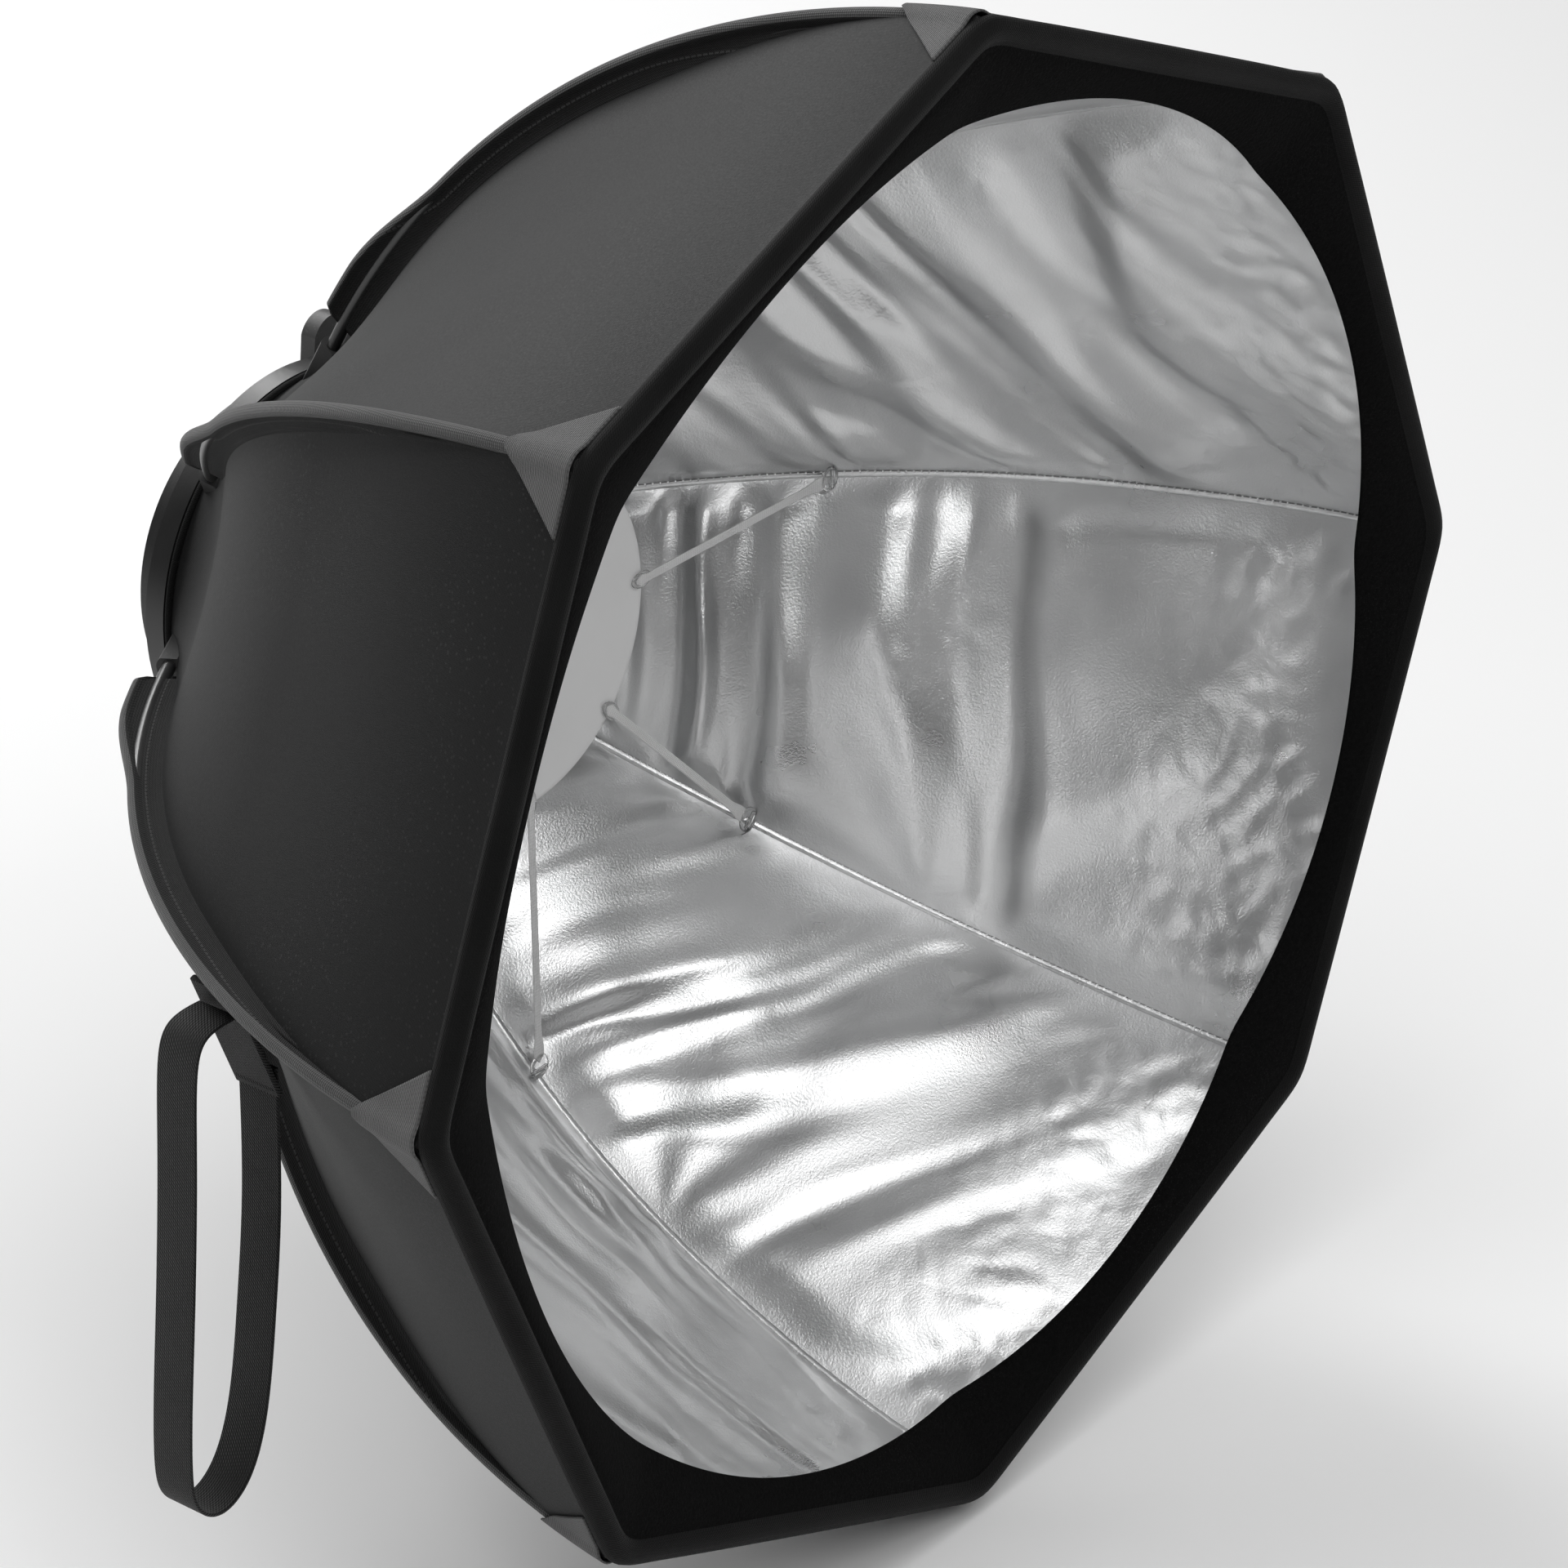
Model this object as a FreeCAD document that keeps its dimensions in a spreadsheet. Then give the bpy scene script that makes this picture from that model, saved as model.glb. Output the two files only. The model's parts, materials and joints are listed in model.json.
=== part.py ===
# Folding octagonal reflector dish: a turning speed ring carries eight bowed ribs, and the ribs carry the cloth.
# The axis of the dish is +Y, the mouth looks along -Y and +Z is up. The origin is the centre of the bore
# at the back face of the mount ring. Rib 1 stands straight up and the others follow clockwise, seen from the mouth.
import FreeCAD
import Part
import os
import re

import Sketcher

Vector = FreeCAD.Vector

# ---------------------------------------------------------------- driving dimensions, in mm and degrees
sizes = {
    # mount ring, which sits on the lamp head
    "bore_radius": 50,
    "neck_wall": 6,
    "disc_radius": 72,
    "disc_thickness": 6,
    "shoulder_radius": 60,
    "slot_length": 16,
    "slot_width": 4,
    "slot_circle": 65,
    "slot_count": 12,
    # rib ring, which turns on the neck
    "turn_clearance": 0.06,
    "end_play": 0.1,
    "flange_front": 30,
    "flange_thickness": 10,
    "flange_margin": 3.9,
    "rib_count": 8,
    # rib hinge
    "pivot_radius": 81,
    "pivot_setback": 5,
    "pin_radius": 2,
    "pin_clearance": 0.06,
    "eye_radius": 4.6,
    "eye_width": 8,
    "ear_thickness": 3,
    "ear_clearance": 0.25,
    "socket_wall": 2.4,
    "stem_length": 30,
    "stem_gap": 7,
    # bowed rib
    "rod_radius": 3,
    "bend_radius": 439,
    "root_angle": 60,
    "tip_angle": 6.1,
    # sewn sleeve, corner pocket and clip
    "sleeve_width": 8,
    "sleeve_above": 5,
    "sleeve_below": 8,
    "sleeve_start": 2.2,
    "pocket_angle": 4.5,
    "pocket_width": 13,
    "pocket_above": 5.8,
    "rod_slack": 0.05,
    "clip_radius": 5,
    "clip_wire": 0.8,
    "clip_gap": 2,
    # cloth
    "cloth_step": 1,
    "cloth_thickness": 1.2,
    "lining_gap": 0.6,
    "lining_thickness": 0.8,
    "cloth_root_angle": 62.4,
    "cloth_clearance": 0.4,
    "gore_gap": 0.15,
    # front lip and its rolled binding
    "hole_radius": 281.5,
    "lip_thickness": 2,
    "lip_setback": 3,
    "lip_overhang": 3.3,
    "binding_depth": 7,
    "binding_width": 11.5,
    "tip_setback": 9,
    # hub cover and screws
    "keeper_thickness": 6,
    "keeper_radius": 66,
    "keeper_step": 1,
    "cover_radius": 76,
    "cover_bore": 52,
    "cover_skirt": 64,
    "cover_wall": 1.5,
    "cover_depth": 16,
    "screw_radius": 1.25,
    "screw_head_radius": 2.4,
    "screw_head": 1.8,
    "screw_length": 14,
    "screw_count": 4,
    # deflector and its elastic straps
    "deflector_radius": 77,
    "deflector_thickness": 1.2,
    "deflector_setback": 150,
    "elastic_width": 4,
    "elastic_thickness": 1,
    "elastic_overlap": 9,
    # lock lever
    "lever_radius": 107,
    "lever_pivot": 66.3,
    "lever_thickness": 8,
    "lever_width": 24,
    "lever_eye": 5.8,
    "lever_gap": 1.5,
    # hanging strap
    "strap_along": 240,
    "strap_width": 20,
    "strap_thickness": 1.6,
    "strap_clearance": 0.5,
    "tab_thickness": 3,
    "tab_width": 23,
    "tab_top": 6.2,
    "tab_length": 53.8,
    "tab_lean": 21,
    "loop_radius": 21.7,
    "loop_lean": 17.5,
    "loop_bottom": 226.7,
    "loop_top": 16,
}

doc = FreeCAD.newDocument("folding_reflector_dish")
sheet = doc.addObject("Spreadsheet::Sheet", "Sizes")
for row, (name, value) in enumerate(sizes.items(), start=1):
    sheet.set(f"A{row}", name)
    sheet.set(f"B{row}", str(value))
    sheet.setAlias(f"B{row}", name)
doc.recompute()

# ---------------------------------------------------------------- lengths worked out from the sizes
neckRadius = "(bore_radius + neck_wall)"
flangeBack = "(flange_front - flange_thickness)"
flangeRadius = "(pivot_radius + eye_radius + flange_margin)"
pivotAxial = "(flange_front + pivot_setback)"
halfSector = "(180 / rib_count)"
rootRadius = "(pivot_radius + stem_length * sin(root_angle))"
rootAxial = f"({pivotAxial} + stem_length * cos(root_angle))"
bendCentre = f"({rootRadius} - bend_radius * cos(root_angle))"
bendAxial = f"({rootAxial} + bend_radius * sin(root_angle))"
tipRadius = f"({bendCentre} + bend_radius * cos(tip_angle))"
tipAxial = f"({bendAxial} - bend_radius * sin(tip_angle))"
frontAxial = f"({tipAxial} + tip_setback)"
lipBack = f"({frontAxial} - lip_setback - lip_thickness)"
cornerRadius = f"({tipRadius} + rod_radius + lip_overhang)"
keeperBack = "(flange_front + end_play)"


# The expression with every size's name read from the sheet.
def formula(text):
    return re.sub(r"\b(" + "|".join(sizes) + r")\b", r"Sizes.\1", text)


def number(text):
    result = sheet.evalExpression(formula(str(text)))
    return float(getattr(result, "Value", result))


def bind(thing, path, text):
    thing.setExpression(path, formula(str(text)))


# ---------------------------------------------------------------- helpers for bodies and sketches
def newBody(label):
    body = doc.addObject("PartDesign::Body", label)
    body.Label = label
    return body


def origin(body, role):
    return next(f for f in body.Origin.OriginFeatures if f.Role == role)


# A sketch on one of the body's planes, moved along and turned about the plane's own axes.
def newSketch(body, role, name, shift=("0", "0", "0"), turn="0"):
    sketch = body.newObject("Sketcher::SketchObject", name)
    sketch.AttachmentSupport = [(origin(body, role), "")]
    sketch.MapMode = "FlatFace"
    base = Vector(*[number(s) for s in shift])
    sketch.AttachmentOffset = FreeCAD.Placement(base, FreeCAD.Rotation(Vector(1, 0, 0), number(turn)))
    for letter, text in zip("xyz", shift):
        if text != "0":
            bind(sketch, f"AttachmentOffset.Base.{letter}", text)
    if turn != "0":
        bind(sketch, "AttachmentOffset.Rotation.Angle", turn)
    return sketch


# Ties a point of the sketch to two lengths measured from the sketch's origin.
def pinPoint(sketch, geometry, position, point):
    for kind, text in zip(("DistanceX", "DistanceY"), point):
        index = sketch.addConstraint(Sketcher.Constraint(kind, -1, 1, geometry, position, number(text)))
        bind(sketch, f"Constraints[{index}]", text)


# A closed outline through the corners. arcs gives a point on the way for each side that is an arc.
def addOutline(sketch, corners, arcs=None):
    arcs = arcs or {}
    places = [Vector(number(x), number(y), 0) for x, y in corners]
    sides = []
    for i, start in enumerate(places):
        end = places[(i + 1) % len(places)]
        if i in arcs:
            middle = Vector(number(arcs[i][0]), number(arcs[i][1]), 0)
            arc = Part.Arc(start, middle, end)
            sides.append(sketch.addGeometry(arc))
        else:
            sides.append(sketch.addGeometry(Part.LineSegment(start, end)))
    ends = []
    for i, side in enumerate(sides):
        started = sketch.getPoint(side, 1).distanceToPoint(places[i]) < 1e-6
        ends.append((1, 2) if started else (2, 1))
    for i, side in enumerate(sides):
        following = sides[(i + 1) % len(sides)]
        joined = Sketcher.Constraint(
            "Coincident", side, ends[i][1], following, ends[(i + 1) % len(sides)][0]
        )
        sketch.addConstraint(joined)
    for i, corner in enumerate(corners):
        pinPoint(sketch, sides[i], ends[i][0], corner)
    for i, way in arcs.items():
        point = sketch.addGeometry(Part.Point(Vector(number(way[0]), number(way[1]), 0)), True)
        pinPoint(sketch, point, 1, way)
        sketch.addConstraint(Sketcher.Constraint("PointOnObject", point, 1, sides[i]))
    return sketch


def addCircle(sketch, centre, radius):
    place = Vector(number(centre[0]), number(centre[1]), 0)
    circle = sketch.addGeometry(Part.Circle(place, Vector(0, 0, 1), number(radius)))
    pinPoint(sketch, circle, 3, centre)
    index = sketch.addConstraint(Sketcher.Constraint("Radius", circle, number(radius)))
    bind(sketch, f"Constraints[{index}]", radius)
    return sketch


def addBox(sketch, low, high):
    corners = [low, (high[0], low[1]), high, (low[0], high[1])]
    return addOutline(sketch, corners)


def pad(body, sketch, length, reverse=False, middle=False):
    feature = body.newObject("PartDesign::Pad", "Pad")
    feature.Profile = sketch
    bind(feature, "Length", length)
    feature.Reversed = reverse
    feature.Midplane = middle
    return feature


def pocket(body, sketch, length, reverse=False, middle=False):
    feature = body.newObject("PartDesign::Pocket", "Pocket")
    feature.Profile = sketch
    bind(feature, "Length", length)
    feature.Reversed = reverse
    feature.Midplane = middle
    return feature


def revolve(body, sketch, angle="360", kind="PartDesign::Revolution"):
    feature = body.newObject(kind, "Revolution")
    feature.Profile = sketch
    feature.ReferenceAxis = (sketch, ["H_Axis"])
    bind(feature, "Angle", angle)
    return feature


def ringPattern(body, features, count):
    feature = body.newObject("PartDesign::PolarPattern", "PolarPattern")
    feature.Originals = features
    feature.Axis = (origin(body, "Y_Axis"), [""])
    feature.Angle = 360
    bind(feature, "Occurrences", count)
    body.Tip = feature
    return feature


# Turns a finished piece about the dish's axis.
def turned(thing, text):
    thing.Placement = FreeCAD.Placement(Vector(0, 0, 0), FreeCAD.Rotation(Vector(0, 1, 0), number(text)))
    bind(thing, "Placement.Rotation.Angle", text)


def ribTurn(k):
    return f"({k - 1} * 360 / rib_count)"


# ---------------------------------------------------------------- mount ring, keeper, cover and screws
def mountRing():
    body = newBody("mount_ring")
    profile = newSketch(body, "YZ_Plane", "Profile")
    addOutline(profile, [
        ("0", "bore_radius"),
        ("0", "disc_radius"),
        ("-disc_thickness", "disc_radius"),
        ("-disc_thickness", "shoulder_radius"),
        (f"-{flangeBack} + end_play", "shoulder_radius"),
        (f"-{flangeBack} + end_play", neckRadius),
        (f"-{keeperBack}", neckRadius),
        (f"-{keeperBack}", "bore_radius"),
    ])
    revolve(body, profile)
    doc.recompute()
    slots = newSketch(body, "XZ_Plane", "Slot")
    addBox(
        slots,
        ("-slot_length / 2", "slot_circle - slot_width / 2"),
        ("slot_length / 2", "slot_circle + slot_width / 2"),
    )
    slot = pocket(body, slots, "disc_thickness", reverse=True)
    ringPattern(body, [slot], "slot_count")
    return body


# The lever's pin hole in the disc and the screws' pilot holes in the neck.
def mountHoles(body):
    doc.recompute()
    hole = newSketch(body, "XZ_Plane", "PinHole")
    addCircle(hole, leverPlace(), "pin_radius")
    pocket(body, hole, "disc_thickness", reverse=True)
    pilots = newSketch(body, "XZ_Plane", "Pilot", shift=("0", "0", keeperBack))
    addCircle(pilots, screwPlace(), "screw_radius")
    pilot = pocket(body, pilots, "screw_length - keeper_thickness")
    ringPattern(body, [pilot], "screw_count")


def leverPlace():
    return (f"lever_pivot * sin({halfSector})", f"lever_pivot * cos({halfSector})")


def screwPlace():
    return ("0", "bore_radius + neck_wall / 2")


def keeper():
    body = newBody("retaining_ring")
    profile = newSketch(body, "YZ_Plane", "Profile")
    front = f"-({keeperBack} + keeper_thickness)"
    addOutline(profile, [
        (f"-{keeperBack}", "bore_radius + keeper_step"),
        (f"-{keeperBack}", "keeper_radius"),
        (front, "keeper_radius"),
        (front, "bore_radius + keeper_step"),
    ])
    revolve(body, profile)
    doc.recompute()
    holes = newSketch(body, "XZ_Plane", "ScrewHole", shift=("0", "0", keeperBack))
    addCircle(holes, screwPlace(), "screw_radius")
    hole = pocket(body, holes, "keeper_thickness", reverse=True)
    ringPattern(body, [hole], "screw_count")
    return body


# A thin cover with a skirt that stands on the retaining ring and closes the centre of the lining.
def hubCover():
    body = newBody("hub_cover")
    profile = newSketch(body, "YZ_Plane", "Profile")
    seat = f"-({keeperBack} + keeper_thickness)"
    front = f"-({keeperBack} + keeper_thickness + cover_depth)"
    addOutline(profile, [
        (seat, "cover_skirt - cover_wall"),
        (seat, "cover_skirt"),
        (f"{front} + cover_wall", "cover_skirt"),
        (f"{front} + cover_wall", "cover_radius"),
        (front, "cover_radius"),
        (front, "cover_bore"),
        (f"{front} + cover_wall", "cover_bore"),
        (f"{front} + cover_wall", "cover_skirt - cover_wall"),
    ])
    revolve(body, profile)
    return body


def screws():
    pieces = []
    for k in range(int(sizes["screw_count"])):
        body = newBody(f"screw_{k + 1}")
        profile = newSketch(body, "YZ_Plane", "Profile")
        head = f"-({keeperBack} + keeper_thickness)"
        addOutline(profile, [
            (f"{head} - screw_head", "0"),
            (f"{head} - screw_head", "screw_head_radius"),
            (head, "screw_head_radius"),
            (head, "screw_radius"),
            (f"{head} + screw_length", "screw_radius"),
            (f"{head} + screw_length", "0"),
        ])
        revolve(body, profile)
        lifted = screwPlace()[1]
        angle = f"({k} * 360 / screw_count)"
        bind(body, "Placement.Base.x", f"({lifted}) * sin({angle})")
        bind(body, "Placement.Base.z", f"({lifted}) * cos({angle})")
        pieces.append(body)
    return gather("ring_screws", pieces)


def gather(label, pieces):
    group = doc.addObject("Part::Compound", label)
    group.Label = label
    group.Links = pieces
    return group


# ---------------------------------------------------------------- rib ring with its ears and pins
def ribRing():
    body = newBody("rib_ring")
    profile = newSketch(body, "YZ_Plane", "Profile")
    bore = f"{neckRadius} + turn_clearance"
    addOutline(profile, [
        (f"-{flangeBack}", bore),
        (f"-{flangeBack}", flangeRadius),
        ("-flange_front", flangeRadius),
        ("-flange_front", bore),
    ])
    revolve(body, profile)
    doc.recompute()
    ears = newSketch(body, "YZ_Plane", "Ears")
    low = f"-({pivotAxial} + eye_radius)"
    addBox(ears, (low, "pivot_radius - eye_radius"), ("-flange_front", "pivot_radius + eye_radius"))
    addCircle(ears, (f"-{pivotAxial}", "pivot_radius"), "pin_radius")
    block = pad(body, ears, "eye_width + 2 * ear_clearance + 2 * ear_thickness", middle=True)
    doc.recompute()
    gap = newSketch(body, "YZ_Plane", "EarGap")
    addBox(
        gap,
        (f"{low} - eye_radius", "pivot_radius - 2 * eye_radius"),
        ("-flange_front", "pivot_radius + 2 * eye_radius"),
    )
    cut = pocket(body, gap, "eye_width + 2 * ear_clearance", middle=True)
    ringPattern(body, [block, cut], "rib_count")
    return body


def hingePins():
    pieces = []
    for k in range(1, int(sizes["rib_count"]) + 1):
        pin = doc.addObject("Part::Cylinder", f"pin_{k}")
        length = "(eye_width + 2 * ear_clearance + 2 * ear_thickness)"
        bind(pin, "Radius", "pin_radius")
        bind(pin, "Height", length)
        across = FreeCAD.Rotation(Vector(0, 1, 0), 90)
        holder = doc.addObject("Part::Compound", f"pin_holder_{k}")
        pin.Placement = FreeCAD.Placement(Vector(0, 0, 0), across)
        bind(pin, "Placement.Base.x", f"-{length} / 2")
        bind(pin, "Placement.Base.y", f"-{pivotAxial}")
        bind(pin, "Placement.Base.z", "pivot_radius")
        holder.Links = [pin]
        turned(holder, ribTurn(k))
        pieces.append(holder)
    return gather("hinge_pins", pieces)


# ---------------------------------------------------------------- ribs
# A sketch square to the bow of rib 1: its origin is the centre of the bend, its height runs outwards.
def ribSketch(body, name, angle):
    shift = ("0", bendCentre, bendAxial)
    return newSketch(body, "XZ_Plane", name, shift=shift, turn=f"-({angle})")


def rod(k):
    body = newBody(f"rod_{k}")
    section = ribSketch(body, "RootSection", "root_angle")
    addCircle(section, ("0", "bend_radius"), "rod_radius")
    pad(body, section, "stem_length - stem_gap", reverse=True)
    doc.recompute()
    again = ribSketch(body, "BowSection", "root_angle")
    addCircle(again, ("0", "bend_radius"), "rod_radius")
    revolve(body, again, "root_angle - tip_angle")
    turned(body, ribTurn(k))
    return body


def bracket(k):
    body = newBody(f"bracket_{k}")
    section = ribSketch(body, "SocketSection", "root_angle")
    addCircle(section, ("0", "bend_radius"), "rod_radius + socket_wall")
    pad(body, section, "stem_length", reverse=True)
    doc.recompute()
    eye = newSketch(body, "YZ_Plane", "Eye")
    addCircle(eye, (f"-{pivotAxial}", "pivot_radius"), "eye_radius")
    pad(body, eye, "eye_width", middle=True)
    doc.recompute()
    cheek = newSketch(body, "XZ_Plane", "Cheek", shift=("0", "0", "0"))
    reach = "(pivot_radius + 2 * stem_length)"
    addBox(cheek, ("eye_width / 2", "0"), (reach, reach))
    addBox(cheek, (f"-{reach}", "0"), ("-eye_width / 2", reach))
    pocket(body, cheek, f"2 * {reach}", middle=True)
    doc.recompute()
    hollow = ribSketch(body, "Socket", "root_angle")
    addCircle(hollow, ("0", "bend_radius"), "rod_radius")
    pocket(body, hollow, "stem_length - stem_gap", reverse=False)
    doc.recompute()
    hole = newSketch(body, "YZ_Plane", "PinHole")
    addCircle(hole, (f"-{pivotAxial}", "pivot_radius"), "pin_radius + pin_clearance")
    pocket(body, hole, "2 * eye_width", middle=True)
    turned(body, ribTurn(k))
    return body


# The webbing sleeve along the rod, the corner pocket over its tip and the clip on the inner seam.
def sleeve(k):
    body = newBody(f"sleeve_web_{k}")
    start = "(root_angle - sleeve_start)"
    section = ribSketch(body, "SleeveSection", start)
    addBox(
        section,
        ("-sleeve_width / 2", "bend_radius - sleeve_below"),
        ("sleeve_width / 2", "bend_radius + sleeve_above"),
    )
    addCircle(section, ("0", "bend_radius"), "rod_radius + rod_slack")
    revolve(body, section, f"{start} - tip_angle - pocket_angle")
    doc.recompute()
    mouth = ribSketch(body, "PocketSection", "(tip_angle + pocket_angle)")
    addBox(
        mouth,
        ("-pocket_width / 2", "bend_radius - sleeve_below"),
        ("pocket_width / 2", "bend_radius + pocket_above"),
    )
    addCircle(mouth, ("0", "bend_radius"), "rod_radius + rod_slack")
    revolve(body, mouth, "pocket_angle")
    turned(body, ribTurn(k))
    clip = doc.addObject("Part::Torus", f"clip_{k}")
    bind(clip, "Radius1", "clip_radius")
    bind(clip, "Radius2", "clip_wire")
    holder = doc.addObject("Part::Compound", f"clip_holder_{k}")
    clip.Placement = FreeCAD.Placement(Vector(0, 0, 0), FreeCAD.Rotation(Vector(1, 0, 0), 90))
    bind(clip, "Placement.Base.y", f"-{clipAxial}")
    bind(clip, "Placement.Base.z", clipCentre)
    holder.Links = [clip]
    turned(holder, ribTurn(k))
    return gather(f"sleeve_{k}", [body, holder])


clothDepth = "(sleeve_below + cloth_step)"
liningDepth = f"({clothDepth} + cloth_thickness + lining_gap)"
liningBend = f"(bend_radius - {liningDepth} - lining_thickness)"
clipAxial = "(deflector_setback + elastic_thickness + elastic_thickness / 2)"
strapReach = f"({bendAxial} - strap_along - tab_width / 2)"
strapRidge = f"({bendCentre} + sqrt(pow(bend_radius - {clothDepth}; 2) - pow({strapReach}; 2)))"
tabOut = f"({strapRidge} + strap_clearance + tab_thickness)"
clipAngle = f"asin(({bendAxial} - {clipAxial}) / {liningBend})"
seamRadius = f"({bendCentre} + {liningBend} * cos({clipAngle}))"
clipCentre = f"({seamRadius} - clip_gap - clip_radius - clip_wire)"


# ---------------------------------------------------------------- cloth
# A point in a mid-panel plane, level with the bow at that angle and that far inside the rod's line.
def bowPoint(depth, angle):
    along = f"-({bendAxial} - (bend_radius - {depth}) * sin({angle}))"
    out = f"({bendCentre} + (bend_radius - {depth}) * cos({angle})) * cos({halfSector})"
    return (along, out)


# Half of the panel on each side of a rib, flat across, meeting in a ridge under the sleeve.
def gore(label, k, depth, thickness):
    body = newBody(f"{label}_{k}")
    shift = ("0", f"gore_gap * sin({halfSector})", f"-gore_gap * cos({halfSector})")
    section = newSketch(body, "YZ_Plane", "MidPanel", shift=shift, turn=halfSector)
    inner = f"({depth} + {thickness})"
    reach = f"({bendAxial} - {lipBack} + cloth_clearance)"
    outerFront = f"(asin({reach} / (bend_radius - {depth})) / 1deg)"
    innerFront = f"(asin({reach} / (bend_radius - {inner})) / 1deg)"
    middle = f"(({outerFront} + cloth_root_angle) / 2)"
    addOutline(
        section,
        [
            bowPoint(depth, outerFront),
            bowPoint(depth, "cloth_root_angle"),
            bowPoint(inner, "cloth_root_angle"),
            bowPoint(inner, innerFront),
        ],
        arcs={0: bowPoint(depth, middle), 2: bowPoint(inner, middle)},
    )
    half = body.newObject("PartDesign::Pad", "HalfPanel")
    half.Profile = section
    half.Type = "UpToFace"
    half.UpToFace = (origin(body, "YZ_Plane"), [""])
    half.Reversed = True
    doc.recompute()
    both = body.newObject("PartDesign::Mirrored", "BothHalves")
    both.Originals = [half]
    both.MirrorPlane = (origin(body, "YZ_Plane"), [""])
    body.Tip = both
    turned(body, ribTurn(k))
    return body


# One eighth of the flat front lip with its rolled binding, a corner of the octagon at its middle.
def lip(k):
    body = newBody(f"lip_{k}")
    narrow = f"({halfSector} - 0.04)"
    slant = f"cos({halfSector}) / cos({halfSector} - {narrow})"
    edge = f"({cornerRadius} * {slant})"
    rim = f"(({cornerRadius} - binding_width / cos({halfSector})) * {slant})"
    sheetPlane = newSketch(body, "XZ_Plane", "LipOutline", shift=("0", "0", f"{frontAxial} - lip_setback"))
    addOutline(
        sheetPlane,
        [
            (f"-hole_radius * sin({narrow})", f"hole_radius * cos({narrow})"),
            (f"hole_radius * sin({narrow})", f"hole_radius * cos({narrow})"),
            (f"{edge} * sin({narrow})", f"{edge} * cos({narrow})"),
            ("0", cornerRadius),
            (f"-{edge} * sin({narrow})", f"{edge} * cos({narrow})"),
        ],
        arcs={0: ("0", "hole_radius")},
    )
    pad(body, sheetPlane, "lip_thickness", reverse=True)
    doc.recompute()
    binding = newSketch(body, "XZ_Plane", "BindingOutline", shift=("0", "0", frontAxial))
    addOutline(binding, [
        (f"{edge} * sin({narrow})", f"{edge} * cos({narrow})"),
        ("0", cornerRadius),
        (f"-{edge} * sin({narrow})", f"{edge} * cos({narrow})"),
        (f"-{rim} * sin({narrow})", f"{rim} * cos({narrow})"),
        ("0", f"{cornerRadius} - binding_width / cos({halfSector})"),
        (f"{rim} * sin({narrow})", f"{rim} * cos({narrow})"),
    ])
    pad(body, binding, "binding_depth", reverse=True)
    turned(body, ribTurn(k))
    return body


# ---------------------------------------------------------------- deflector
def deflector():
    disc = doc.addObject("Part::Cylinder", "deflector_disc")
    disc.Label = "deflector_disc"
    bind(disc, "Radius", "deflector_radius")
    bind(disc, "Height", "deflector_thickness")
    disc.Placement = FreeCAD.Placement(Vector(0, 0, 0), FreeCAD.Rotation(Vector(1, 0, 0), -90))
    bind(disc, "Placement.Base.y", "-deflector_setback")
    return disc


def elastics():
    pieces = []
    for k in range(1, int(sizes["rib_count"]) + 1):
        strap = doc.addObject("Part::Box", f"elastic_{k}")
        bind(strap, "Length", "elastic_width")
        bind(strap, "Width", "elastic_thickness")
        inner = "(deflector_radius - elastic_overlap)"
        outer = f"({clipCentre} - clip_radius - clip_wire - rod_slack)"
        bind(strap, "Height", f"{outer} - {inner}")
        bind(strap, "Placement.Base.x", "-elastic_width / 2")
        bind(strap, "Placement.Base.y", "-(deflector_setback + elastic_thickness + rod_slack)")
        bind(strap, "Placement.Base.z", inner)
        holder = doc.addObject("Part::Compound", f"elastic_holder_{k}")
        holder.Links = [strap]
        turned(holder, ribTurn(k))
        pieces.append(holder)
    return gather("elastic_straps", pieces)


# ---------------------------------------------------------------- lock lever
def leverSketch(body, name):
    return newSketch(body, "XZ_Plane", name, shift=("0", "0", "disc_thickness + lever_gap"))


# A cam lever on the mount ring: its round eye bears on the neck and its paddle stands past the rim.
def lockLever():
    body = newBody("lock_lever")
    eye = leverSketch(body, "Eye")
    addCircle(eye, ("0", "lever_pivot"), "lever_eye")
    pad(body, eye, "lever_thickness")
    doc.recompute()
    paddle = leverSketch(body, "Paddle")
    bend = "(lever_radius - lever_width / 2)"
    waist = "(lever_eye * 0.8)"
    addOutline(
        paddle,
        [
            (f"-{waist}", "lever_pivot + lever_eye / 2"),
            (waist, "lever_pivot + lever_eye / 2"),
            ("lever_width / 2", bend),
            ("-lever_width / 2", bend),
        ],
        arcs={2: ("0", "lever_radius")},
    )
    pad(body, paddle, "lever_thickness")
    doc.recompute()
    hole = leverSketch(body, "PinHole")
    addCircle(hole, ("0", "lever_pivot"), "pin_radius + pin_clearance")
    pocket(body, hole, "lever_thickness", reverse=True)
    turned(body, halfSector)
    return body


def leverPin():
    pin = doc.addObject("Part::Cylinder", "lever_pin")
    pin.Label = "lever_pin"
    bind(pin, "Radius", "pin_radius")
    bind(pin, "Height", "disc_thickness + lever_gap + lever_thickness + lever_gap")
    pin.Placement = FreeCAD.Placement(Vector(0, 0, 0), FreeCAD.Rotation(Vector(1, 0, 0), 90))
    bind(pin, "Placement.Base.x", leverPlace()[0])
    bind(pin, "Placement.Base.z", leverPlace()[1])
    return pin


# ---------------------------------------------------------------- hanging strap under rib 7
def strapSketch(body, name):
    return newSketch(body, "XZ_Plane", name, shift=("0", "0", "strap_along"))


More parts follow.
